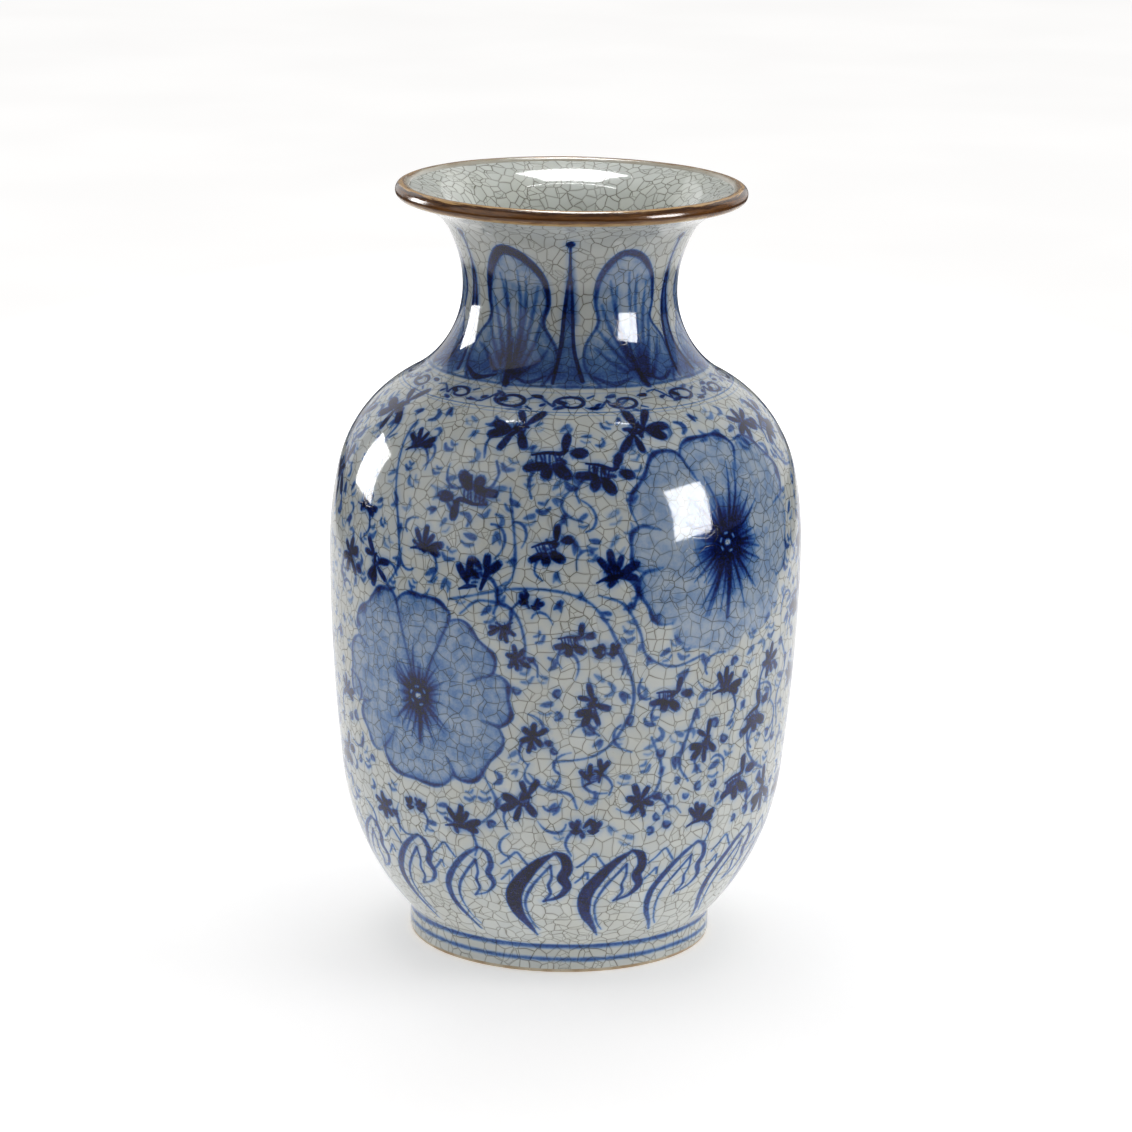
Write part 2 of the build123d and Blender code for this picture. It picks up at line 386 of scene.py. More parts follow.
def berry(p, azimuth, up, turn, size, tone):
    """A round blob with a darker edge."""
    p.at(azimuth, up, turn, size)
    p.stroke([(-0.5, 0), (0.5, 0.1)], 1.4, tone * 0.55, 1.0, count=3)
    p.stroke([(-1.6, 0.6), (-0.9, -1.1), (0.9, -1.2), (1.7, 0.4)], [0.3, 0.6, 0.65, 0.3], tone, 0.9, count=8)


def curl(p, azimuth, up, turn, length, bend, half=0.55, tone=0.52):
    """A vine that starts straight and curls up towards its end."""
    p.at(azimuth, up, turn)
    t = np.linspace(0, 1, 14)
    heading = np.radians(bend) * t**1.6
    x = np.concatenate([[0], np.cumsum(np.cos(heading[:-1]))]) * length / 13
    y = np.concatenate([[0], np.cumsum(np.sin(heading[:-1]))]) * length / 13
    widths = [half * 0.6, half, half * 1.1, half * 0.7]
    p.stroke(np.column_stack([x, y]), widths, [tone * 0.7, tone, tone], 0.8)


def flower(p, azimuth, up, petals, wash, needles, needle):
    """A flower of lobed petals, with washes round its heart and needles out of it."""
    rim = []
    for start, end, reach, ripple, line, fold in petals:
        t = np.linspace(0, 1, 9)
        angle = np.radians(start + (end - start) * t)
        swell = 1 - 0.1 * np.abs(2 * t - 1) ** 3 + ripple * np.sin(3 * math.pi * t)
        away = reach * swell
        edge = np.column_stack([away * np.cos(angle), away * np.sin(angle)])
        rim.append(edge[:-1])
        if line:
            p.at(azimuth, up)
            halves = np.array([0.3, 0.45, 0.65, 1.0, 0.6, 0.55, 0.9, 0.5, 0.3]) * (1 + 0.2 * unsure())
            tones = np.array([0.35, 0.6, 0.8, 0.95, 0.75, 0.7, 0.9, 0.65, 0.4]) * line
            p.stroke(np.vstack([edge[0] * fold, edge[0] * (1 + fold) / 2, edge]), halves, tones, 1.0)
    p.at(azimuth, up)
    p.wash(np.vstack(rim), wash, 1.6, count=140)
    around = np.linspace(0, 2 * math.pi, 12, endpoint=False)
    for radius, tone in ((0.95 * needle, wash + 0.1), (0.6 * needle, wash + 0.26), (0.36 * needle, 0.8)):
        heart = np.column_stack([0.8 * radius * np.cos(around), radius * np.sin(around)])
        p.wash(heart, tone, 0.8 * radius, count=40)
    for k in range(needles):
        angle = 360 * k / needles + 4 * unsure()
        stretch = 0.5 + 0.5 * abs(math.sin(math.radians(angle))) ** 1.5
        length = needle * stretch * draw.uniform(0.4, 1.1)
        p.at(azimuth, up, angle)
        bend = 0.06 * length * unsure()
        middle, end = (2.6 + length / 2, bend), (2.6 + length, bend * 0.4)
        p.stroke([(2.6, 0), middle, end], [0.75, 0.5, 0.15], [0.95, 0.75, 0.3], 0.8)
    p.at(azimuth, up)
    p.stroke([(0, -3), (0.4, -0.5 * needle), (0, -1.1 * needle)], [1.5, 1.2, 0.7], [0.98, 0.95, 0.6], 0.9)
    circle = [(3.2 * math.cos(a), 3.2 * math.sin(a)) for a in np.linspace(0, 2 * math.pi, 9)]
    p.stroke(circle, 1.7, 0.96, 1.0)
    p.stroke([(-0.4, 0), (0.4, 0)], 1.1, 0.75, 0.9, reserve=True, count=3)
    for angle in (35, 100, 160, 215, 290):
        p.at(azimuth, up, angle)
        p.stroke([(3.6, -0.5), (3.7, 0.6)], 0.5, 0.6, 0.6, reserve=True, count=3)


LAPPET_EDGE = (
    (-18, -27), (-23, -18), (-22, -10), (-16, -2), (-18, 7), (-15, 18), (-6, 26),
    (5, 25), (15, 16), (18, 6), (16, -2), (22, -10), (23, -18), (18, -27),
)
LAPPET_VEINS = (
    ((2, -26), (-3, -5), (-10, 16)), ((3, -26), (3, -3), (1, 19)), ((5, -25), (9, -3), (12, 12)),
    ((-2, -17), (-10, -3), (-14, 6)), ((7, -24), (15, -15), (19, -9)), ((-4, -23), (-13, -16), (-19, -11)),
    ((4, -23), (6, -1), (6, 17)), ((0, -19), (-5, 0), (-6, 13)), ((6, -22), (13, -8), (15, 2)),
    ((-3, -20), (-12, -10), (-17, -3)),
)


def lappet(p, azimuth, weight):
    """A lobed leaf standing on the neck's band, with its edge, veins and wash."""
    p.at(azimuth, 285)
    edge = p.on_wall([(a * (1 + 0.03 * unsure()), u + 0.8 * unsure()) for a, u in LAPPET_EDGE])
    ink = 0.55 + 0.43 * weight
    p.wash(edge, 0.24, 2.4)
    halves = np.array([0.7, 0.6, 0.6, 0.9, 1.9, 2.2, 1.4, 0.8, 0.6, 0.6, 0.6]) * (0.3 + 0.7 * weight)
    p.stroke(edge, halves, np.array([0.6, 0.7, 0.85, 1.0, 0.95, 0.8, 0.65]) * ink, 1.0, count=60)
    for vein in LAPPET_VEINS:
        vein = [(a + unsure(), u + 1.5 * unsure()) for a, u in vein]
        p.stroke(p.on_wall(vein), [1.0, 0.75, 0.3], [0.8 * ink, 0.52 * ink, 0.25], 1.2)
    p.stroke(p.on_wall([(3, -28), (1, -19), (0, -9)]), [1.3, 1.0, 0.3], [1, 0.9, 0.6], 0.7)
    p.stroke(p.on_wall([(-20, -23), (-12, -26.5), (-3, -24)]), [0.5, 1.3, 0.4], 0.9 * min(weight, 1), 0.5)
    p.stroke(p.on_wall([(5, -24), (12, -26), (19, -23)]), [0.4, 0.9, 0.4], 0.7, 0.6)


def spike(p, azimuth):
    """The tall stem between two lappets, with a bead on top."""
    p.at(azimuth, 290)
    p.stroke(p.on_wall([(-0.6, 26.5), (0.6, 26.8)]), 1.45, 0.95, 0.5, count=3)
    p.stroke(p.on_wall([(0, 25), (0, 16), (0, 9)]), [0.45, 0.6, 0.8], 0.8, 0.5)
    p.stroke(p.on_wall([(-0.8, 10), (-2.6, -2), (-4, -16), (-6.5, -31)]), [0.5, 0.75, 0.8, 0.7], 0.85, 0.5)
    p.stroke(p.on_wall([(0.8, 10), (1.6, -2), (2.6, -17), (6, -30)]), [0.45, 0.65, 0.7, 0.9], 0.85, 0.5)
    inside = [(0, 10), (1.5, -5), (2.5, -20), (5, -32), (-5, -32), (-3.6, -18), (-2.4, -2)]
    p.wash(p.on_wall(inside), 0.34, 1.2, count=30)
    p.stroke(p.on_wall([(0, 25), (0.5, 10), (1, -5)]), [0.6, 1.6, 2.6], [0.15, 0.25, 0.3], 2.6, count=9)


def scroll(p, azimuth, mirror):
    """One curl of the running scroll under the neck, with its leaves. Mirror is 1 or -1."""
    p.at(azimuth, 249.6 + 0.5 * unsure(), 5 * unsure(), draw.uniform(0.9, 1.15))
    t = np.linspace(0, 1, 12)
    turn = np.radians(200 - 390 * t)
    away = 4.6 - 2.9 * t
    spiral = np.column_stack([away * 1.45 * np.cos(turn), mirror * away * 0.85 * np.sin(turn)])
    entry = np.array([(-15.5, 2.6 * mirror), (-11, 3.4 * mirror)])
    p.stroke(np.vstack([entry, spiral]), [0.3, 0.55, 0.6, 0.75, 0.6, 0.45], [0.6, 0.85, 0.95, 0.95, 0.8], 0.6)
    p.leaf((-1.6, 0.2 * mirror), 180 - 20 * mirror + 10 * unsure(), 4.0, 2.2, 0.97, soft=0.6)
    p.leaf((6.0, -3.0 * mirror), 8 * unsure(), 4.2, 1.7, 0.95, soft=0.6)
    p.leaf((-9.0, 0.4 * mirror), 200 + 20 * unsure(), 2.8, 1.5, 0.85, soft=0.6)
    p.stroke([(6.2, 2.4 * mirror), (8.4, 3.4 * mirror)], [0.5, 0.3], 0.75, 0.6, count=4)
    p.leaf((1.5, 3.4 * mirror), 30 * unsure(), 3.6, 1.6, 0.5, soft=1.0)
    p.leaf((-6.5, -2.8 * mirror), 30 * unsure(), 4.2, 1.8, 0.75, soft=0.8)


def tongue(p, azimuth, weight):
    """A hooked leaf of the lower border. A heavy one has a thick outer crescent."""
    p.at(azimuth, 40)
    ink = 0.62 + 0.38 * weight
    heavy = np.array([0.5, 1.8, 2.7, 3.2, 3.0, 2.2, 1.2, 0.3]) * weight + 0.6 * (1 - weight)
    crescent = [
        (-0.3, 24.6), (-6.3, 20), (-11.7, 13.3), (-15.5, 5.8),
        (-15.8, -0.8), (-13.8, -7.5), (-10, -14.2), (-6.7, -20.8),
    ]
    p.stroke(crescent, heavy, np.array([0.9, 0.97, 1.0, 1.0, 0.95, 0.8, 0.55]) * ink, 0.9)
    lobe = [(0.4, 24.9), (3.8, 22.5), (4.8, 17.5), (3.1, 13.2), (4.8, 8.5), (1.4, 3.3), (-4.3, 0.6)]
    halves = np.array([0.6, 1.9, 2.1, 2.3, 1.7, 0.9, 0.3]) * (0.35 + 0.65 * weight)
    p.stroke(lobe, halves, np.array([0.9, 1.0, 1.0, 0.9, 0.7]) * ink, 0.9)
    inner = [(-1.6, 18.8), (-5.7, 13.3), (-9.7, 6.7), (-11.4, 0), (-10.4, -6.7), (-8.4, -12.5), (-5.7, -17)]
    p.stroke(inner, [0.5, 0.6, 0.5, 0.3], [0.7, 0.65, 0.5, 0.35], 0.8)
    fold = [(-1.6, 18.8), (-1.2, 13.3), (-2.4, 9.2), (-1.6, 5), (-4.3, 0.6)]
    p.stroke(fold, [0.4, 0.5, 0.65, 0.4], 0.7, 0.8)
    peak = [(-21.2, 18.3), (-18.2, 21.0), (-15.1, 24.4), (-12.6, 21.5), (-10.4, 18.6)]
    p.stroke(peak, [0.35, 0.6, 0.4], 0.55, 0.8)
    p.stroke([(-21.0, 10.8), (-18.8, 13.4), (-17.0, 16.0), (-16.4, 12.8)], [0.35, 0.6, 0.4], 0.5, 0.8)


# ---- what is painted where: degrees round and millimetres up the wall
# The open ground's sprigs: azimuth, height, kind, turn, size
SPRIGS = (
    (-64, 234, "bird", 10, 1.15), (-16, 234, "bird", -10, 1.1), (-4, 221, "comb", 0, 1.1),
    (23, 235, "bird", 160, 1.15), (9, 216, "comb", -20, 1.0), (62, 230, "star", 20, 1.1),
    (75, 225, "comb", 30, 1.0), (-45, 222, "tuft", 20, 0.9), (-24, 207, "comb", 170, 1.1),
    (-78, 200, "bird", 0, 1.15), (-58, 194, "tuft", -10, 0.9), (-63, 172, "star", 0, 1.1),
    (-51, 172, "bird", 60, 0.9), (-36, 184, "tuft", 0, 1.0), (-21, 177, "twig", 0, 1.2),
    (-4, 187, "comb", 10, 0.85), (11, 178, "tuft", 10, 1.15), (-8, 167, "pair", -20, 0.75),
    (2, 151, "comb", 0, 0.75), (-14, 156, "tuft", 200, 0.7), (-11, 144, "star", 30, 0.75),
    (10, 148, "pair", 10, 0.8), (7, 125, "bird", 40, 0.8), (26, 127, "comb", -10, 0.8),
    (42, 128, "tuft", 0, 1.0), (60, 133, "star", 0, 0.9), (-7, 113, "star", 10, 0.85),
    (37, 106, "bird", 20, 0.8), (55, 112, "comb", 20, 0.9), (75, 120, "tuft", 20, 0.9),
    (-68, 115, "tuft", 0, 0.8), (-72, 88, "comb", 0, 0.8), (8, 99, "twig", 10, 0.8),
    (-10, 86, "bird", 0, 0.9), (20, 86, "star", 40, 0.95), (50, 86, "comb", 10, 0.95),
    (-27, 74, "tuft", 0, 1.0), (6, 76, "pair", 0, 0.95), (37, 75, "tuft", 10, 0.9),
    (63, 77, "bird", 30, 0.9), (-52, 73, "star", 20, 0.85), (-40, 78, "pair", 0, 0.8),
    (78, 76, "comb", 0, 0.9), (80, 178, "bird", 30, 1.0), (76, 152, "comb", 0, 0.9),
)
# Vines: each a list of azimuths and heights. They are repeated behind, turned by BEHIND
VINES = (
    ((-50, 232), (-50, 222), (-47, 205), (-44, 190), (-43, 175), (-47, 165)),
    ((-14, 210), (-12, 190), (-12, 178), (-14, 172)),
    ((-28, 165), (-10, 172), (5, 168), (13, 150), (17, 130), (14, 115), (8, 106), (-2, 103)),
    ((-25, 160), (-20, 166), (-12, 163), (-9, 150), (-10, 140)),
    ((8, 170), (14, 166), (18, 155), (20, 145), (27, 140), (35, 143)),
    ((2, 212), (-1, 206), (0, 201), (4, 198)),
    ((22, 112), (25, 100), (24, 90), (18, 80)),
    ((55, 110), (53, 100), (57, 92), (62, 88)),
    ((-8, 98), (-4, 92), (2, 90), (4, 84)),
    ((34, 120), (32, 112), (30, 100), (33, 92)),
    ((-70, 222), (-76, 214), (-74, 206), (-70, 206)),
    ((-20, 98), (-16, 84), (-20, 76)),
    ((70, 215), (74, 208), (80, 206)),
    ((66, 140), (70, 128), (66, 116), (68, 104)),
)
BEHIND = 170
# Petals: first and last angle, reach, ripple of the rim, tone of the line, where the line starts
LOW_PETALS = (
    (-62, -12, 39, 0.03, 0.9, 0.75), (-12, 22, 40, 0.02, 0.9, 0.8), (22, 66, 39, 0.03, 0.95, 0.7),
    (66, 107, 41, 0.01, 0.95, 0.35), (107, 154, 44, 0.03, 0.8, 0.3), (154, 196, 43, 0.02, 0.6, 0.8),
    (196, 232, 38, 0.02, 0.6, 0.85), (232, 298, 36, 0.03, 0.85, 0.7),
)
HIGH_PETALS = (
    (-75, -30, 43, 0.02, 0.12, 0.9), (-30, 18, 41, 0.03, 0.3, 0.85), (18, 70, 45, 0.02, 0.85, 0.8),
    (70, 113, 43, 0.01, 1.0, 0.75), (113, 165, 45, 0.03, 0.95, 0.65), (165, 192, 43, 0.01, 0.8, 0.8),
    (192, 228, 43, 0.02, 0.75, 0.8), (228, 285, 43, 0.03, 0.15, 0.9),
)
# Flowers: azimuth, height, petals, wash, needles and their length
FLOWERS = (
    (-37, 124, LOW_PETALS, 0.3, 44, 17),
    (42, 186, HIGH_PETALS, 0.24, 84, 27),
    (128, 122, LOW_PETALS, 0.29, 50, 18),
    (-142, 186, HIGH_PETALS, 0.25, 76, 25),
)
# The lower border's leaves and the neck's, by how heavy each is
TONGUES = (1.0, 0.85, 0.3, 0.35, 0.4, 0.9, 0.6, 0.35, 0.8, 1.0, 0.45, 0.3, 0.75, 0.95, 0.4, 0.35, 0.4, 0.3)
LAPPETS = (1.0, 0.6, 0.45, 0.8, 0.55, 0.7)
SCROLLS = 16
# Rings: height, half-width, tone, softness, how far they waver, and where along the waver they start
RINGS = (
    (10.8, 1.05, 0.55, 1.4, 0.3, 1.0), (11.4, 0.3, 0.25, 0.7, 0.4, 3.5), (5.5, 0.8, 0.53, 1.3, 0.25, 2.0),
    (263.0, 4.0, 0.36, 7.0, 0.6, 3.0), (269.0, 5.0, 0.15, 10.0, 0.8, 1.5), (257.0, 0.6, 0.4, 0.9, 0.3, 1.0),
    (254.8, 0.3, 0.22, 0.8, 0.3, 4.0), (244.6, 0.25, 0.45, 0.6, 0.3, 5.0), (242.6, 0.2, 0.3, 0.6, 0.3, 2.5),
)
KINDS = {
    "comb": sprig_comb, "bird": sprig_bird, "tuft": sprig_tuft,
    "twig": sprig_twig, "star": sprig_star, "pair": sprig_pair,
}
GROUND = (71, 239)  # the open ground between the lower border and the band under the neck
HIDDEN_SIDE = (84, 278)  # azimuths without placed sprigs, where seeded ones fill the ground
FLOWER_REACH = 41
SPRIG_GAP, DAB_GAP = 9.0, 5.9  # least distance of a dab from a sprig and from another dab
BERRIES_BELOW = 140
SPRIG_TRIES, DAB_TRIES = 2600, 6000


def gaps(azimuth, up, places):
    """Distances along the wall from one place to others."""
    radius = profile.radius_at(up)
    return [math.hypot(wrap(math.radians(azimuth - a)) * radius, up - u) for a, u, *_ in places]


def clear_of_flowers(azimuth, up, margin):
    return min(gaps(azimuth, up, FLOWERS)) >= FLOWER_REACH + margin


def paint_sprig(p, kind):
    KINDS[kind](p, draw.uniform(0.88, 1.0))
    blots(p, 0.97, draw.integers(2, 5))
    stem(p, draw.choice((-1, 1)))


def paint_ground(p):
    """Sprigs, vines and dabs: placed ones round the front, and seeded ones of the same kinds behind."""
    taken = []
    for azimuth, up, kind, turn, size in SPRIGS:
        p.at(azimuth, up, turn, size)
        paint_sprig(p, kind)
        taken.append((azimuth, up))
    for points in VINES:
        for behind in (0, BEHIND):
            p.at(points[0][0] + behind, points[0][1])
            path = p.on_wall([(a - points[0][0], u - points[0][1]) for a, u in points])
            p.stroke(path, [0.4, 0.6, 0.55, 0.4], [0.42, 0.56, 0.5], 1.0)
    names = tuple(KINDS)
    for _ in range(SPRIG_TRIES):
        azimuth, up = draw.uniform(*HIDDEN_SIDE), draw.uniform(GROUND[0] + 2, GROUND[1] - 6)
        room = 17 if up > 150 else 15
        if min(gaps(azimuth, up, taken)) < room or not clear_of_flowers(azimuth, up, 6):
            continue
        taken.append((azimuth, up))
        p.at(azimuth, up, draw.uniform(-60, 60), 1.05 if up > 165 else draw.uniform(0.75, 0.95))
        paint_sprig(p, names[draw.integers(len(names))])
    dabs = []
    for _ in range(DAB_TRIES):
        azimuth, up = draw.uniform(-180, 180), draw.uniform(*GROUND)
        near_sprig = min(gaps(azimuth, up, taken)) < SPRIG_GAP
        near_dab = min(gaps(azimuth, up, dabs), default=DAB_GAP) < DAB_GAP
        if near_sprig or near_dab or not clear_of_flowers(azimuth, up, 1):
            continue
        dabs.append((azimuth, up))
        choice = draw.uniform()
        if choice < 0.16:
            curl(p, azimuth, up, draw.uniform(0, 360), draw.uniform(10, 18), draw.choice((-1, 1)) * 150)
        elif up < BERRIES_BELOW and choice < 0.4:
            berry(p, azimuth, up, draw.uniform(0, 360), draw.uniform(0.8, 1.15), draw.uniform(0.5, 0.8))
        else:
            dab(p, azimuth, up, draw.uniform(-50, 50), draw.uniform(1.0, 1.6), draw.uniform(0.3, 0.62))


def paint_vase():
    p = Painting()
    p.rings = list(RINGS)
    for k, weight in enumerate(TONGUES):
        tongue(p, -1 + 360 / len(TONGUES) * k + 0.8 * unsure(), weight)
    paint_ground(p)
    for row in FLOWERS:
        flower(p, *row)
    for k, weight in enumerate(LAPPETS):
        lappet(p, -29 + 360 / len(LAPPETS) * k, weight)
        spike(p, 360 / len(LAPPETS) * k)
    for k in range(SCROLLS):
        scroll(p, 360 / SCROLLS * k + 2 * unsure(), -1 if k % 2 else 1)
    return p


# ---- the painted surface, cut along the strokes
RING_GAP = 1.7  # spacing of the plain ground's points
NEAREST = 0.36  # how near the painting they may come, as a share of that
BAND_ENDS = (44.0, 80.0, 108.0, 138.0, 164.0, 186.0, 208.0, 240.0, 285.0)
CHART_MIDDLE = float(profile.to_chart(np.zeros(1), np.array([160.0]))[0, 1])
EDGE_ROUND = 0.8  # how far the glaze thins towards its edge at the foot
EDGE_RINGS = (0.12, 0.3, 0.55, EDGE_ROUND)  # heights of the points that round it
RING_COUNT, BAND_COUNT = 240, 280  # points round a painted ring, and round a band's end


def to_plane(chart_points):
    """The chart as a flat ring, which has no seam and keeps angles."""
    reach = np.exp(chart_points[:, 1] - CHART_MIDDLE)
    return np.column_stack([reach * np.cos(chart_points[:, 0]), reach * np.sin(chart_points[:, 0])])


def from_plane(points):
    azimuth = np.arctan2(points[:, 1], points[:, 0])
    return np.column_stack([azimuth, np.log(np.hypot(points[:, 0], points[:, 1])) + CHART_MIDDLE])


class Net:
    """Points and lines for a constrained triangulation, in chart units."""

    def __init__(self):
        self.points, self.edges, self.count = [], [], 0

    def line(self, points, closed=False):
        index = np.arange(self.count, self.count + len(points))
        self.points.append(np.asarray(points, float))
        self.count += len(points)
        self.edges.append(np.column_stack([index[:-1], index[1:]]))
        if closed:
            self.edges.append(np.array([[index[-1], index[0]]]))

    def triangulate(self):
        points, edges = np.vstack(self.points), np.vstack(self.edges)
        flat = [Vector(point) for point in to_plane(points).tolist()]
        found = geometry.delaunay_2d_cdt(flat, edges.tolist(), [], 0, 1e-6, False)
        corners = np.array([tuple(v) for v in found[0]])
        return from_plane(corners), np.array(found[2])


def sideways(path, closed=False):
    """Unit vectors square to a path, at each of its points."""
    if closed:
        along = np.roll(path, -1, axis=0) - np.roll(path, 1, axis=0)
    else:
        along = np.gradient(path, axis=0)
    along = along / np.maximum(np.hypot(*along.T), 1e-12)[:, None]
    return np.column_stack([-along[:, 1], along[:, 0]])


def outline_stroke(net, path, half, soft):
    """A stroke's middle, and its edges where the tone starts and stops falling."""
    net.line(path)
    side = sideways(path)
    reach = half + soft / 2
    caps = []
    turns = np.radians((45, 90, 135))
    for end, sign in ((len(path) - 1, 1), (0, -1)):
        across, ahead = side[end] * sign, np.array([side[end][1], -side[end][0]]) * sign
        round_end = np.outer(np.cos(turns), across) + np.outer(np.sin(turns), ahead)
        caps.append(path[end] + reach[end] * round_end)
    loop = [path + side * reach[:, None], caps[0], (path - side * reach[:, None])[::-1], caps[1]]
    net.line(np.vstack(loop), closed=True)
    reach = half - soft / 2
    full = np.flatnonzero(reach > 0.2 * soft)
    if len(full) > 2:
        run = slice(full[0], full[-1] + 1)
        inner = np.maximum(reach[run], 0.1 * soft)[:, None]
        net.line(path[run] + side[run] * inner)
        net.line(path[run] - side[run] * inner)


def outline_painting(net, painting):
    for path, half, _, soft in painting.strokes + painting.reserves:
        outline_stroke(net, path, half, soft)
    for path, _, soft in painting.washes:
        side = sideways(path, closed=True)
        for reach in (-soft / 2, soft / 2):
            net.line(path + side * reach, closed=True)
    azimuth = np.linspace(-180, 180, RING_COUNT, endpoint=False)
    for ring in painting.rings:
        _, half, _, soft, _, _ = ring
        height = ring_height(ring, np.radians(azimuth))
        for away in {-half - soft / 2, -abs(half - soft / 2), abs(half - soft / 2), half + soft / 2}:
            net.line(profile.to_chart(azimuth, height + away), closed=True)


def plain_rings():
    """Rings of evenly spaced chart points from the foot to the lip, each turned a little from the last."""
    spaced = np.linspace(BARE_FOOT, TOP, int((TOP - BARE_FOOT) / RING_GAP) + 1)[1:-1]
    heights = sorted(set(spaced) | {BARE_FOOT + rise for rise in EDGE_RINGS})
    rings = []
    for k, up in enumerate(heights):
        count = int(2 * math.pi * profile.radius_at(up) / RING_GAP)
        azimuth = np.linspace(-180, 180, count, endpoint=False) + 0.618 * k * 360 / count
        rings.append(profile.to_chart(wrap(np.radians(azimuth)) * 180 / math.pi, np.full(count, up)))
    return rings


def cut_outside(painting):
    """Triangles of the whole painted outside: chart points and corners."""
    net = Net()
    outline_painting(net, painting)
    painted = to_plane(np.vstack(net.points))
    tree = kdtree.KDTree(len(painted))
    for k, point in enumerate(painted.tolist()):
        tree.insert((*point, 0), k)
    tree.balance()
    for ring in plain_rings():
        radius = profile.radius_at(profile.up_at(ring[0, 1]))
        flat = to_plane(ring)
        limit = NEAREST * RING_GAP / radius * np.hypot(*flat[0])
        keep = [tree.find((*point, 0))[2] > limit for point in flat.tolist()]
        if any(keep):
            net.points.append(ring[keep])
            net.count += sum(keep)
    azimuth = np.linspace(-180, 180, BAND_COUNT, endpoint=False)
    levels = (BARE_FOOT, *BAND_ENDS, TOP)
    for level in levels:
        net.line(profile.to_chart(azimuth, np.full(BAND_COUNT, level)), closed=True)
    chart_points, faces = net.triangulate()
    up = profile.up_at(chart_points[:, 1])
    for level in levels:
        up[np.abs(up - level) < 0.02] = level
    faces = faces[(up[faces] > BARE_FOOT).any(1)]
    return chart_points[:, 0], up, faces


def relief(azimuth, up):
    """How far the glazed face falls short of the drawn outline: hand-thrown unevenness, and its thin edge."""
    uneven = (
        np.sin(2 * azimuth + 0.021 * up) + 0.7 * np.sin(5 * azimuth - 0.05 * up + 1)
        + 0.55 * np.sin(0.16 * up + 2 * np.sin(azimuth)) + 0.3 * np.sin(11 * azimuth + 0.11 * up)
        + 0.25 * np.sin(0.37 * up + 3 * azimuth + 2)
    )
    edge = np.clip(1 - (up - BARE_FOOT) / EDGE_ROUND, 0, 1)
    near_lip = np.clip((TOP - up) / 12, 0, 1)
    return (0.028 * (2.8 - uneven) * near_lip + 0.26 * edge**2) * np.clip((up + 1) / 3, 0, 1)


def turned(radius, azimuth, height):
    """Points at these radii and heights, turned about Z. Azimuth 0 faces -Y."""
    return np.column_stack([radius * np.sin(azimuth), -radius * np.cos(azimuth), height])


def outside_at(azimuth, up):
    radius, height, _ = profile.at(up, relief(azimuth, up))
    return turned(radius, azimuth, height)


def outside_normals(azimuth, up):
    step, turn = 0.05, 0.05 / 80
    low, high = np.maximum(up - step, BARE_FOOT), np.minimum(up + step, TOP)
    rise = outside_at(azimuth, high) - outside_at(azimuth, low)
    around = outside_at(azimuth + turn, up) - outside_at(azimuth - turn, up)
    normal = np.cross(around, rise)
    return normal / np.linalg.norm(normal, axis=1)[:, None]


# ---- meshes
def make_mesh(name, vertices, faces, normals=None, attributes=()):
    mesh = bpy.data.meshes.new(name)
    mesh.from_pydata((np.asarray(vertices) * MM).tolist(), [], [list(map(int, face)) for face in faces])
    for attribute, values in attributes:
        layer = mesh.attributes.new(attribute, "FLOAT", "POINT")
        layer.data.foreach_set("value", np.asarray(values, np.float32))
    mesh.polygons.foreach_set("use_smooth", [True] * len(mesh.polygons))
    if normals is None:
        mesh.set_sharp_from_angle(angle=math.radians(50))
    else:
        mesh.normals_split_custom_set_from_vertices(normals.tolist())
    mesh.update()
    piece = bpy.data.objects.new(name, mesh)
    bpy.context.scene.collection.objects.link(piece)
    return piece


def boundary_edges(faces):
    """Directed edges that only one face has."""
    pairs = np.vstack([faces[:, [0, 1]], faces[:, [1, 2]], faces[:, [2, 0]]])
    there = {(a, b) for a, b in pairs.tolist()}
    return [(a, b) for a, b in there if (b, a) not in there]


def outside_band(name, azimuth, up, faces, amounts):
    """One closed shell of glaze between two heights, from the whole surface's triangles."""
    used, local = np.unique(faces, return_inverse=True)
    faces = local.reshape(faces.shape)
    azimuth, up, amounts = azimuth[used], up[used], amounts[used]
    outer = outside_at(azimuth, up)
    normals = outside_normals(azimuth, up)
    short = np.interp(up, [TOP - 1.5, TOP], [0, CLAY_CONTACT - FACE_CONTACT])
    radius, height, heading = profile.at(up - short, GLAZE)
    inner = turned(radius, azimuth, height)
    out_of_wall = turned(np.sin(heading), azimuth, -np.cos(heading))
    a, b, c = (outer[faces[:, k]] for k in range(3))
    inward = (np.cross(b - a, c - a) * normals[faces[:, 0]]).sum(1) < 0
    faces[inward] = faces[inward][:, ::-1]
    count = len(used)
    rim = [(b, a, a + count, b + count) for a, b in boundary_edges(faces)]
    every = faces.tolist() + (faces[:, ::-1] + count).tolist() + rim
    cobalt = [("cobalt", np.concatenate([amounts, np.zeros(count)]))]
    return make_mesh(name, np.vstack([outer, inner]), every, np.vstack([normals, -out_of_wall]), cobalt)


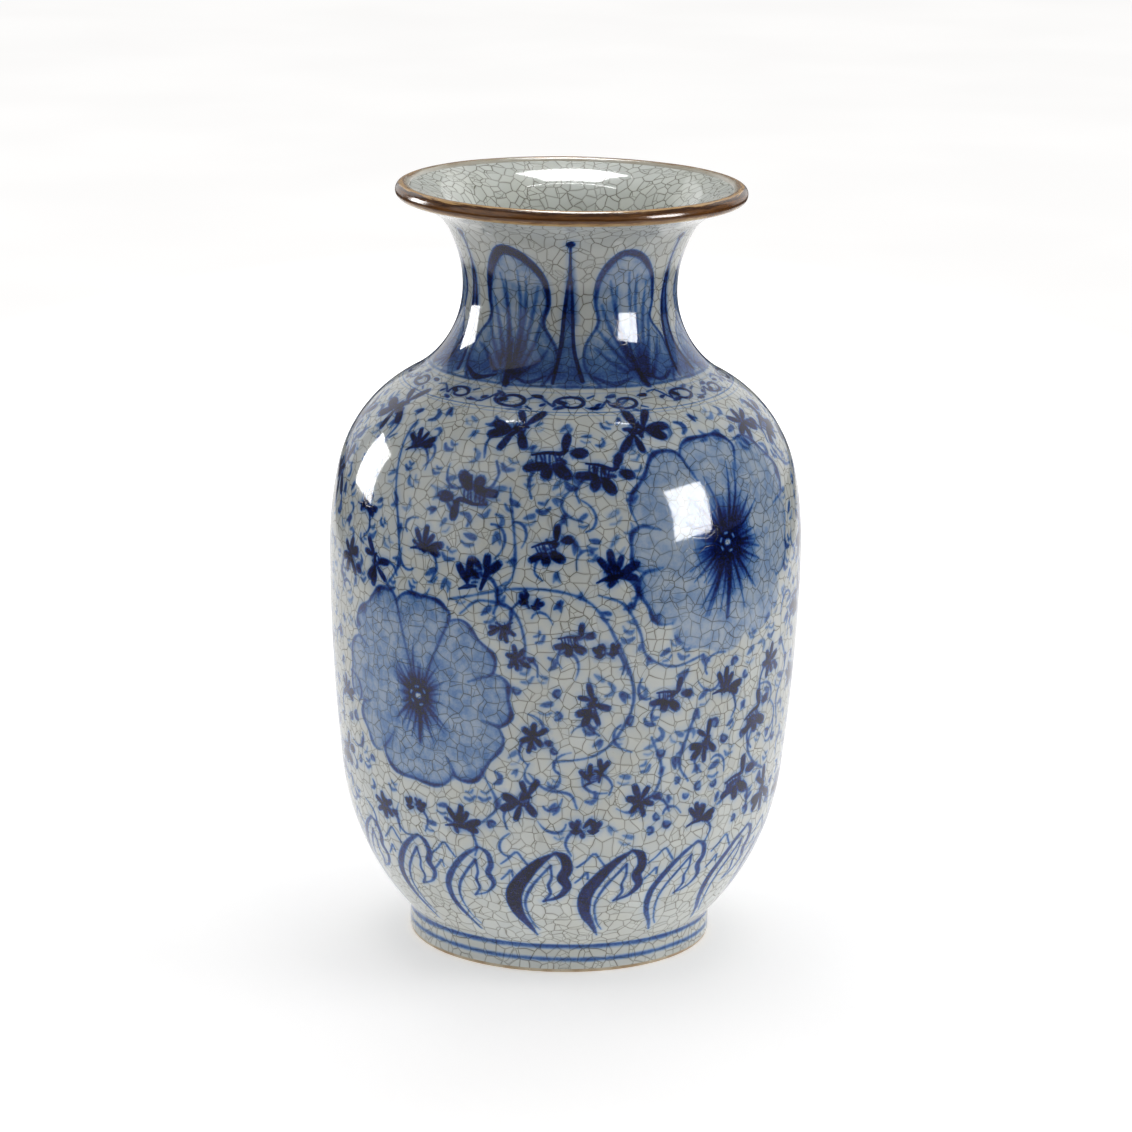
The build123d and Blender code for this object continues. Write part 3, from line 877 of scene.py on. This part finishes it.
def revolve(name, section, segments, closed=True, attributes=(), shift=None):
    """A section of (radius, height) points turned about Z. An open one starts and ends on the axis.

    shift(azimuth, index) gives how far each point moves, as radius and height.
    """
    section = np.asarray(section, float)
    azimuth = np.linspace(0, 2 * math.pi, segments, endpoint=False)
    body = section if closed else section[1:-1]
    rows = len(body)
    grid_azimuth, index = np.meshgrid(azimuth, np.arange(rows), indexing="ij")
    radius, height = body[index, 0], body[index, 1]
    if shift is not None:
        away = shift(grid_azimuth, index)
        radius, height = radius + away[0], height + away[1]
    vertices = turned(radius.ravel(), grid_azimuth.ravel(), height.ravel())
    faces = []
    last = rows if closed else rows - 1
    for k in range(segments):
        here, there = k * rows, (k + 1) % segments * rows
        for row in range(last):
            after = (row + 1) % rows
            faces.append((here + row, there + row, there + after, here + after))
        if not closed:
            first_pole, last_pole = segments * rows, segments * rows + 1
            faces.append((first_pole, there, here))
            faces.append((last_pole, here + rows - 1, there + rows - 1))
    if not closed:
        vertices = np.vstack([vertices, (0, 0, section[0, 1]), (0, 0, section[-1, 1])])
    values = []
    for attribute, per_row in attributes:
        per_row = np.asarray(per_row, float)
        spread = np.tile(per_row if closed else per_row[1:-1], segments)
        values.append((attribute, spread if closed else np.append(spread, (per_row[0], per_row[-1]))))
    return make_mesh(name, vertices, faces, None, values)


def wall_line(low, high, depth, gap=2.0):
    up = np.linspace(low, high, max(2, int((high - low) / gap) + 1))
    radius, height, _ = profile.at(up, depth)
    return np.column_stack([radius, height])


def arc(centre, radius, start, end, count):
    turn = np.radians(np.linspace(start, end, count))
    return np.column_stack([centre[0] + radius * np.cos(turn), centre[1] + radius * np.sin(turn)])


# ---- materials
def linear(red, green, blue):
    """A screen colour from 0 to 255, as the linear RGBA that nodes take."""
    parts = [c / 255 for c in (red, green, blue)]
    return tuple(c / 12.92 if c <= 0.04045 else ((c + 0.055) / 1.055) ** 2.4 for c in parts) + (1.0,)


class Nodes:
    """A small helper to wire a node tree: a socket or a value goes into each named or numbered input."""

    def __init__(self, tree):
        self.tree = tree

    def feed(self, node, slot, value):
        if isinstance(value, bpy.types.NodeSocket):
            self.tree.links.new(value, node.inputs[slot])
        else:
            node.inputs[slot].default_value = value

    def add(self, kind, *values, out=0, **settings):
        node = self.tree.nodes.new("ShaderNode" + kind)
        for slot, value in enumerate(values):
            if value is not None:
                self.feed(node, slot, value)
        for key, value in settings.items():
            if hasattr(node, key):
                setattr(node, key, value)
            else:
                self.feed(node, key.replace("_", " "), value)
        return node.outputs[out] if out is not None else node

    def maths(self, operation, a, b=0.0, c=0.0, clamp=False):
        return self.add("Math", a, b, c, operation=operation, use_clamp=clamp)

    def vector(self, operation, a, b=None, out=0):
        return self.add("VectorMath", a, b, operation=operation, out=out)

    def scaled(self, vector, scale):
        return self.add("VectorMath", vector, operation="SCALE", Scale=scale)

    def fade(self, value, low, high, to_low=0.0, to_high=1.0, smooth=True):
        """The value mapped from low..high on to to_low..to_high, clamped."""
        kind = "SMOOTHSTEP" if smooth else "LINEAR"
        return self.add("MapRange", value, low, high, to_low, to_high, interpolation_type=kind)

    def mix(self, factor, a, b, blend="MIX"):
        node = self.add("Mix", data_type="RGBA", blend_type=blend, out=None)
        for slot, value in ((0, factor), (6, a), (7, b)):
            self.feed(node, slot, value)
        return node.outputs[2]

    def noise(self, vector, scale, detail=2.0, roughness=0.5):
        return self.add("TexNoise", Vector=vector, Scale=scale, Detail=detail, Roughness=roughness)

    def patches(self, vector, scale, detail, low, high, to_low=0.0, to_high=1.0, roughness=0.5):
        """A noise, mapped from low..high on to to_low..to_high."""
        return self.fade(self.noise(vector, scale, detail, roughness), low, high, to_low, to_high)

    def weighted(self, *pairs):
        """The sum of each value times its weight."""
        total = 0.0
        for value, weight in pairs:
            total = self.maths("MULTIPLY_ADD", value, weight, total)
        return total

    def ramp(self, value, stops):
        node = self.add("ValToRGB", value, out=None)
        points = node.color_ramp.elements
        while len(points) < len(stops):
            points.new(0.5)
        for point, (position, colour) in zip(points, stops):
            point.position, point.color = position, colour
        return node.outputs[0]


def start_material(name):
    material = bpy.data.materials.new(name)
    material.use_nodes = True
    tree = material.node_tree
    tree.nodes.clear()
    nodes = Nodes(tree)
    shader = nodes.add("BsdfPrincipled", out=None)
    output = nodes.add("OutputMaterial", out=None)
    tree.links.new(shader.outputs[0], output.inputs[0])
    # object coordinates, in millimetres
    place = nodes.scaled(nodes.add("TexCoord", out=3), 1 / MM)
    return material, nodes, shader, place


def connect(nodes, shader, **sockets):
    for name, socket in sockets.items():
        nodes.tree.links.new(socket, shader.inputs[name.replace("_", " ")])


CRACK_CELL = 4.8  # size of the crackle's cells
CRACK_DISORDER = 0.74  # below 1, the cells come out squarer and more alike
FINER_SHARE = 0.25  # of the cells, split again by finer cracks
OUTSIDE_CRACK, INSIDE_CRACK = 0.21, 0.25  # width of a crack


def crack_lines(nodes, place, normal, width):
    """Cracks between the cells of a random pattern: the line's strength, the cell's random colour, distance.

    The distance to the wall between two cells is taken along the surface, so a line keeps its width where the
    surface cuts the pattern at a slant.
    """
    cells = {"Vector": nodes.scaled(place, 1 / CRACK_CELL), "Scale": 1.0, "Randomness": CRACK_DISORDER}
    nearest = nodes.add("TexVoronoi", **cells, feature="F1", out=None)
    second = nodes.add("TexVoronoi", **cells, feature="F2", out=None)
    between = nodes.vector("SUBTRACT", second.outputs["Position"], nearest.outputs["Position"])
    apart = nodes.vector("LENGTH", between, out=1)
    far, near = (nodes.maths("POWER", node.outputs["Distance"], 2.0) for node in (second, nearest))
    off_wall = nodes.maths("DIVIDE", nodes.maths("SUBTRACT", far, near), nodes.maths("MULTIPLY", apart, 2.0))
    slant = nodes.vector("DOT_PRODUCT", nodes.vector("NORMALIZE", between), normal, out=1)
    flatness = nodes.maths("SUBTRACT", 1.0, nodes.maths("POWER", slant, 2.0))
    along = nodes.maths("SQRT", nodes.maths("MAXIMUM", flatness, 0.04))
    distance = nodes.maths("MULTIPLY", nodes.maths("DIVIDE", off_wall, along), CRACK_CELL)
    line = nodes.fade(distance, width * 0.25, width, 1.0, 0.0)
    # a wall that lies nearly flat in the surface would make a patch and no line
    line = nodes.maths("MULTIPLY", line, nodes.fade(along, 0.25, 0.5))
    return line, nearest.outputs["Color"], distance


def crackle(nodes, place, width):
    """A craze of cracks, with some of its cells split again by finer ones."""
    normal = nodes.add("NewGeometry", out=1)
    bend = nodes.add("TexNoise", Vector=place, Scale=0.09, Detail=1.0, Roughness=0.4, out=1)
    place = nodes.vector("ADD", place, nodes.scaled(nodes.vector("SUBTRACT", bend, (0.5, 0.5, 0.5)), 5.0))
    first, cell, distance = crack_lines(nodes, place, normal, width)
    shifted = nodes.vector("ADD", place, nodes.scaled(cell, 300.0))
    second, _, _ = crack_lines(nodes, shifted, normal, width * 0.8)
    parts = nodes.add("SeparateXYZ", cell, out=None)
    split = nodes.fade(parts.outputs[0], FINER_SHARE - 0.01, FINER_SHARE + 0.01, 0.9, 0.0)
    lines = nodes.maths("MAXIMUM", first, nodes.maths("MULTIPLY", second, split))
    strength = nodes.patches(place, 0.09, 3.0, 0.3, 0.65, 0.6, 1.0)
    return nodes.maths("MULTIPLY", lines, strength), parts.outputs[1], distance


def surface(nodes, shader, colour, rough, height, strength=1.0):
    """Wires a colour, a roughness and a relief in millimetres into the shader."""
    bump = nodes.add("Bump", Strength=strength, Distance=MM, Height=height)
    connect(nodes, shader, Base_Color=colour, Roughness=rough, Normal=bump)


# Ground tones: clear, warm and one cell's; the painted ones are cooler, since cobalt has seeped into them
PLAIN_TONES = (linear(224, 228, 222), linear(214, 217, 207), linear(190, 195, 190))
PAINTED_TONES = (linear(220, 224, 221), linear(212, 214, 207), linear(190, 196, 196))
CRACK_STAIN = linear(120, 112, 92)
# Cobalt in the glaze, from the palest wash to a loaded stroke
COBALT = (
    (0.0, linear(150, 184, 222)), (0.3, linear(98, 141, 196)), (0.55, linear(44, 86, 160)),
    (0.78, linear(13, 38, 112)), (0.92, linear(4, 14, 66)), (1.0, linear(1, 5, 36)),
)
# The lip's glaze, from below its outer face over the top to the inside: tan and dark brown stripes by turns,
# which are the glaze pooling and running thin, with painted highlights in the tan stripes
LIP_BROWNS_AND_HIGHLIGHTS = (
    (0.0, linear(196, 178, 146)), (0.22, linear(214, 180, 124)), (0.28, linear(176, 130, 76)),
    (0.33, linear(120, 78, 36)), (0.40, linear(98, 58, 18)), (0.48, linear(138, 88, 36)),
    (0.57, linear(64, 34, 8)), (0.625, linear(100, 62, 24)), (0.665, linear(206, 162, 102)),
    (0.73, linear(196, 158, 108)), (0.78, linear(140, 108, 74)), (0.86, linear(186, 176, 156)),
    (1.0, linear(204, 202, 192)),
)


def glaze_material(name, painted, crack_width, crack_depth):
    """Clear crackled glaze over pale clay, over cobalt where the piece is painted."""
    material, nodes, shader, place = start_material(name)
    lines, cell, distance = crackle(nodes, place, crack_width)
    clear_tone, warm_tone, cell_tone = PAINTED_TONES if painted else PLAIN_TONES
    colour = nodes.mix(nodes.patches(place, 0.035, 3.0, 0.3, 0.7), clear_tone, warm_tone)
    colour = nodes.mix(nodes.fade(cell, 0.0, 1.0, 0.0, 0.3), colour, cell_tone)
    specks = nodes.patches(place, 0.9, 2.0, 0.70, 0.78, 0.0, 0.22)
    colour = nodes.mix(specks, colour, linear(150, 140, 120))
    if painted:
        amount = nodes.add("Attribute", attribute_name="cobalt", out=2)
        grain = nodes.patches(place, 1.3, 4.0, 0.25, 0.75, -0.16, 0.06, roughness=0.6)
        pool = nodes.patches(place, 0.16, 4.0, 0.3, 0.7, -0.08, 0.06, roughness=0.6)
        uneven = nodes.weighted(
            (grain, nodes.fade(amount, 0.1, 0.8)), (pool, nodes.fade(amount, 0.05, 0.25)),
        )
        amount = nodes.maths("ADD", amount, uneven, clamp=True)
        cover = nodes.fade(amount, 0.0, 0.36, smooth=False)
        colour = nodes.mix(cover, colour, nodes.ramp(amount, COBALT))
    colour = nodes.mix(nodes.maths("MULTIPLY", lines, crack_depth), colour, CRACK_STAIN, "MULTIPLY")
    halo = nodes.fade(distance, 0.1, 0.9, 0.16, 0.0)
    colour = nodes.mix(halo, colour, CRACK_STAIN, "MULTIPLY")
    sag, fine = nodes.noise(place, 0.22, 3.0, 0.55), nodes.noise(place, 1.4, 2.0)
    height = nodes.weighted((sag, 0.012), (fine, 0.0015), (lines, -0.006))
    worn = nodes.patches(place, 0.5, 4.0, 0.3, 0.8, 0.035, 0.075)
    surface(nodes, shader, colour, nodes.maths("MULTIPLY_ADD", lines, 0.08, worn), height)
    shader.inputs["IOR"].default_value = 1.5
    return material


def lip_material():
    """Iron-brown glaze in stripes across the roll: dark where it pooled and tan where it ran thin, with
    painted highlights in the tan stripes.
    """
    material, nodes, shader, place = start_material("lip_iron_glaze")
    across = nodes.add("Attribute", attribute_name="across", out=2)
    wave = nodes.patches(place, 0.05, 2.0, 0.25, 0.75, -0.035, 0.035)
    flat = nodes.vector("MULTIPLY", place, (0.05, 0.05, 0.0))
    lift = nodes.add("CombineXYZ", 0.0, 0.0, nodes.maths("MULTIPLY", across, 9.0))
    drawn_out = nodes.vector("ADD", flat, lift)
    streak = nodes.patches(drawn_out, 2.2, 5.0, 0.3, 0.7, -0.05, 0.05, roughness=0.6)
    # the ramp's tan stripes carry painted highlights, fixed to the roll
    colour = nodes.ramp(nodes.maths("ADD", across, nodes.maths("ADD", wave, streak)), LIP_BROWNS_AND_HIGHLIGHTS)
    specks = nodes.patches(place, 1.8, 3.0, 0.60, 0.74, 0.0, 0.22)
    colour = nodes.mix(specks, colour, linear(40, 24, 12))
    height = nodes.weighted((nodes.noise(place, 0.3, 3.0), 0.08), (nodes.noise(place, 2.2, 3.0), 0.01))
    surface(nodes, shader, colour, nodes.patches(place, 0.7, 3.0, 0.3, 0.7, 0.10, 0.2), height)
    shader.inputs["IOR"].default_value = 1.55
    return material


def clay_material():
    """Bare fired clay: buff, with iron freckles and the grain of the turning tool."""
    material, nodes, shader, place = start_material("bare_clay")
    cloud = nodes.patches(place, 0.12, 4.0, 0.3, 0.7)
    colour = nodes.mix(cloud, linear(206, 194, 170), linear(178, 152, 118))
    freckle = nodes.patches(place, 1.5, 3.0, 0.62, 0.72, 0.0, 0.6)
    colour = nodes.mix(freckle, colour, linear(96, 62, 38))
    squeezed = nodes.vector("MULTIPLY", place, (0.4, 0.4, 3.0))
    grain = nodes.maths("ADD", nodes.noise(squeezed, 0.8, 5.0, 0.7), nodes.noise(place, 4.0, 3.0))
    rough = nodes.fade(grain, 0.6, 1.4, 0.62, 0.9)
    surface(nodes, shader, colour, rough, nodes.maths("MULTIPLY", grain, 0.09), 0.8)
    return material


def slip_material():
    """Slip that joined the sections: the same clay, finer, paler and smoother."""
    material, nodes, shader, place = start_material("fired_slip")
    cloud = nodes.patches(place, 0.3, 4.0, 0.3, 0.7)
    colour = nodes.mix(cloud, linear(206, 194, 172), linear(180, 160, 130))
    rough = nodes.patches(place, 1.2, 3.0, 0.3, 0.7, 0.7, 0.88)
    surface(nodes, shader, colour, rough, nodes.maths("MULTIPLY", nodes.noise(place, 2.0, 3.0), 0.05), 0.6)
    return material


def finish_piece(piece, material, node):
    piece.data.materials.append(material)
    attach(piece, "root")
    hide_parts(node)


# ---- the pieces
def make_outside(material):
    painting = paint_vase()
    azimuth, up, faces = cut_outside(painting)
    amounts = cobalt_at(painting, profile.to_chart(np.degrees(azimuth), up))
    middle = up[faces].mean(1)
    ends = (0.0, *BAND_ENDS, TOP + 1)
    for k, (low, high) in enumerate(zip(ends, ends[1:]), 1):
        chosen = faces[(middle > low) & (middle <= high)]
        band = outside_band(f"outer_glaze_{k}", azimuth, up, chosen, amounts)
        finish_piece(band, material, "outer_glaze")


INSIDE_ENDS = (70.0, 115.0, 160.0, 205.0, 245.0, 290.0)


def make_inside(material):
    """The glaze of the hollow: a bowl with its floor, then bands up the wall to the lip."""
    belly_start, _, centre, first, bend = profile.arcs[1]
    reach = bend - WALL - CORNER
    heading = math.acos((centre[1] - FLOOR_TOP - CORNER) / reach)
    start_up = belly_start + (heading - first) * bend
    corner = (centre[0] + math.sin(heading) * reach, FLOOR_TOP + CORNER)
    floor_radii = np.linspace(0, corner[0], 16)[:-1]
    ends = (start_up, *INSIDE_ENDS, TOP)

    def side(depth, radius, floor):
        flat = np.column_stack([floor_radii, np.full(len(floor_radii), floor)])
        bowl = arc(corner, radius, -90, math.degrees(heading) - 90, 9)
        return np.vstack([flat, bowl[:-1], wall_line(start_up, ends[1], depth)])

    seen = side(WALL, CORNER, FLOOR_TOP)
    hidden = side(WALL - GLAZE, CORNER + GLAZE, FLOOR_TOP - GLAZE)
    bowl = revolve("inner_glaze_floor", np.vstack([seen, hidden[::-1]])[::-1], 224, closed=False)
    finish_piece(bowl, material, "inner_glaze")
    for k in range(1, len(ends) - 1):
        end = ends[k + 1]
        clay_end = end - (CLAY_CONTACT - FACE_CONTACT if end == TOP else 0)
        seen = wall_line(ends[k], end, WALL)
        hidden = wall_line(ends[k], clay_end, WALL - GLAZE)
        band = revolve(f"inner_glaze_{k}", np.vstack([seen, hidden[::-1]])[::-1], 256)
        finish_piece(band, material, "inner_glaze")


def make_lip(material):
    """The lip's glaze: a crescent round the coil, a little uneven, from the outer face to the inner."""
    tilt = math.degrees(profile.end_heading)
    contact = math.degrees(math.asin((WALL / 2 - GLAZE) / LIP_ROLL))
    under = math.degrees(math.asin((WALL / 2 - GLAZE) / (LIP_ROLL - GLAZE)))
    # angles round the coil's middle, from below the outside over the top to the inside
    start, end = tilt - 180 + contact, tilt + 180 - contact
    low, high = tilt - 180 + under, tilt + 180 - under
    middle = (LIP_RADIUS, LIP_HEIGHT)
    seen, hidden = 44, 30
    section = np.vstack([
        arc(middle, LIP_ROLL, start, end, seen), arc(middle, LIP_ROLL - GLAZE, high, low, hidden),
    ])
    across = np.concatenate([np.linspace(0, 1, seen), np.linspace(1, 0, hidden)])
    away = np.zeros(len(section))
    away[:seen] = np.sin(np.linspace(0, math.pi, seen)) ** 0.6
    out = section - middle
    out = out / np.linalg.norm(out, axis=1)[:, None]

    def shift(azimuth, index):
        uneven = 0.05 * (2.0 + np.sin(3 * azimuth + 1) + 0.6 * np.sin(8 * azimuth + 0.16 * index)
                         + 0.4 * np.sin(17 * azimuth - 0.2 * index + 2))
        pull = -uneven * away[index]
        return pull * out[index, 0], pull * out[index, 1]

    lip = revolve("lip_iron_glaze", section, 384, attributes=[("across", across)], shift=shift)
    finish_piece(lip, material, "lip_glaze")


def make_recess(material):
    """The glaze under the floor: a shallow upturned dish with a rounded corner and a thin edge."""
    side, top = RECESS_RADIUS, RECESS
    face, bend = side - GLAZE, 1.2
    hidden = np.array([(0.0, top), (20.0, top), (40.0, top), (side, top), (side, 6.0), (side, BARE_RECESS)])
    edge = [(side - 0.1, BARE_RECESS), (side - 0.3, BARE_RECESS + 0.25), (face, BARE_RECESS + 0.9)]
    wall = [(face, BARE_RECESS + 1.8), (face, BARE_RECESS + 3.0), (face, top - GLAZE - bend - 0.8)]
    corner = arc((face - bend, top - GLAZE - bend), bend, 0, 90, 7)
    flat = np.column_stack([np.linspace(face - bend, 0, 26)[1:], np.full(25, top - GLAZE)])
    section = np.vstack([hidden, edge, wall, corner, flat])[::-1]
    dish = revolve("recess_glaze_dish", section, 192, closed=False)
    finish_piece(dish, material, "recess_glaze")


def dress_frame():
    """The frame's own clay and slip, which stay, get their materials."""
    clay, slip = clay_material(), slip_material()
    for name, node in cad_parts.items():
        if not node.hide_render:
            node.data.materials.clear()
            node.data.materials.append(slip if name.endswith("_slip") else clay)


# ---- stage
def screen(glossy, name, place, aim, width, height, power):
    """A soft box facing its aim. It shows in the gloss, or else in the plain shading."""
    light = bpy.data.lights.new(name, "AREA")
    light.shape, light.size, light.size_y, light.energy = "RECTANGLE", width, height, power
    lamp = bpy.data.objects.new(name, light)
    lamp.location = place
    lamp.rotation_euler = (Vector(aim) - Vector(place)).to_track_quat("-Z", "Y").to_euler()
    lamp.visible_camera = False
    lamp.visible_glossy, lamp.visible_diffuse = glossy, not glossy
    bpy.context.scene.collection.objects.link(lamp)


def polar(azimuth, elevation, distance, height=0.2):
    """A place seen from the vase's middle at this azimuth and elevation."""
    turn, rise = math.radians(azimuth), math.radians(elevation)
    flat = distance * math.cos(rise)
    return (flat * math.sin(turn), -flat * math.cos(turn), height + distance * math.sin(rise))


SWEEP_EDGE = 640.0  # how far out the sweep glows in front, a painted light; past it the sweep is dark grey, a painted dark room for the vase to reflect
SWEEP_BEHIND = 0.4  # how much nearer than they are the places behind the vase count


def make_floor():
    """A pale sweep that glows, a painted light in place of studio light falling on it, brightest round the
    vase; past SWEEP_EDGE it is dark grey, a painted dark room. To the camera it glows more, and more further
    out.
    """
    mesh = bpy.data.meshes.new("floor")
    reach, count = 6.0, 24
    line = np.linspace(-reach, reach, count)
    points = [(x, y, 0.0) for y in line for x in line]
    corners = [k * count + j for k in range(count - 1) for j in range(count - 1)]
    mesh.from_pydata(points, [], [(k, k + 1, k + count + 1, k + count) for k in corners])
    floor = bpy.data.objects.new("floor", mesh)
    bpy.context.scene.collection.objects.link(floor)
    material, nodes, shader, place = start_material("pale_sweep")
    away = nodes.vector("LENGTH", place, out=1)
    parts = nodes.add("SeparateXYZ", place, out=None)
    x, y = parts.outputs[0], parts.outputs[1]
    y = nodes.maths("MINIMUM", y, nodes.maths("MULTIPLY", y, SWEEP_BEHIND))
    glow_reach = nodes.vector("LENGTH", nodes.add("CombineXYZ", x, y, 0.0), out=1)
    near = nodes.fade(glow_reach, SWEEP_EDGE - 100, SWEEP_EDGE, 1.0, 0.0)
    # painted light: the sweep glows round the vase for all rays, and for the camera brighter further out
    seen = nodes.maths("MULTIPLY", nodes.add("LightPath", out=0), nodes.fade(away, 180.0, 700.0, 0.46, 1.08))
    glow = nodes.maths("MAXIMUM", nodes.maths("MULTIPLY", near, 0.44), seen)
    tone = nodes.fade(nodes.noise(place, 0.004, 2.0), 0.3, 0.7)
    pale = nodes.mix(tone, linear(238, 237, 236), linear(241, 240, 239))
    # painted shade: past the glowing zone the sweep is dark grey, a dark room for the vase to reflect
    colour = nodes.mix(near, linear(70, 71, 72), pale)
    connect(nodes, shader, Base_Color=colour, Emission_Color=pale, Emission_Strength=glow)
    shader.inputs["Roughness"].default_value = 0.75
    shader.inputs["Specular IOR Level"].default_value = 0.15
    mesh.materials.append(material)


def make_world():
    """White to the camera, and a dim room to everything else."""
    world = bpy.data.worlds.new("studio")
    world.use_nodes = True
    world.node_tree.nodes.clear()
    nodes = Nodes(world.node_tree)
    seen = nodes.add("LightPath", out=0)
    white = nodes.add("Background", (1.0, 1.0, 1.0, 1.0), 1.0)
    room = nodes.add("Background", (0.97, 0.98, 1.0, 1.0), 0.25)
    both = nodes.add("MixShader", seen, room, white)
    output = nodes.add("OutputWorld", out=None)
    world.node_tree.links.new(both, output.inputs[0])
    bpy.context.scene.world = world


def make_lights():
    middle = (0, 0, 0.19)
    # boxes whose reflections are seen, and wide ones that pale the sides
    reflected = (
        ("soft_box_right", polar(62.5, 12, 1.5), middle, 0.56, 0.67, 23),
        ("soft_box_left", polar(-117, 9, 1.5), middle, 0.47, 0.62, 12),
        ("panel_above", (0.0, 0.54, 1.5), (0.0, 0.0, 0.3), 0.43, 0.60, 14),
        ("strip_above", (0.0, 0.1, 1.5), middle, 0.9, 0.04, 2.0),
        ("haze_left", polar(-62, 22, 1.9), middle, 1.6, 2.2, 7.5),
        ("haze_right", polar(146, 15, 2.2), middle, 1.6, 2.2, 8),
        ("haze_behind", polar(-152, 12, 2.4), middle, 1.2, 2.2, 6),
    )
    fills = (
        ("fill_right", polar(88, 25, 2.2), middle, 1.2, 1.2, 10),
        ("fill_left", polar(-105, 25, 2.2), middle, 1.2, 1.2, 4.5),
        ("fill_above", (0, 0.1, 1.9), middle, 1.4, 1.4, 13),
        ("fill_behind", polar(180, 40, 2.6), (0, 0.5, 0), 2.4, 2.0, 15),
    )
    for rows, glossy in ((reflected, True), (fills, False)):
        for row in rows:
            screen(glossy, *row)


CAMERA_PLACE = (0.00035, -1.743, 0.5879)
LENS, LOOKING_DOWN, ROLLED = 143.1, 14.09, 1.0


def make_camera():
    """The photograph's view: a long lens, a little above, turned a degree."""
    camera = bpy.data.cameras.new("view")
    camera.lens, camera.sensor_width = LENS, 36.0
    camera.clip_end = 50.0
    holder = bpy.data.objects.new("view", camera)
    tilt = Matrix.Rotation(math.radians(90 - LOOKING_DOWN), 4, "X")
    roll = Matrix.Rotation(math.radians(ROLLED), 4, "Z")
    holder.matrix_world = Matrix.Translation(CAMERA_PLACE) @ tilt @ roll
    bpy.context.scene.collection.objects.link(holder)
    bpy.context.scene.camera = holder


# ---- all of it
_, box_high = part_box("outer_glaze")
widest = max(profile.at(profile.steps)[0]) * MM
assert abs(box_high.x - widest) < 0.0002, "the outline differs from the frame's"

make_camera()
make_outside(glaze_material("painted_crackle_glaze", True, OUTSIDE_CRACK, 0.9))
plain_glaze = glaze_material("plain_crackle_glaze", False, INSIDE_CRACK, 0.85)
make_inside(plain_glaze)
make_lip(lip_material())
make_recess(plain_glaze)
dress_frame()
make_floor()
make_world()
make_lights()
bpy.context.scene.view_settings.view_transform = "Standard"
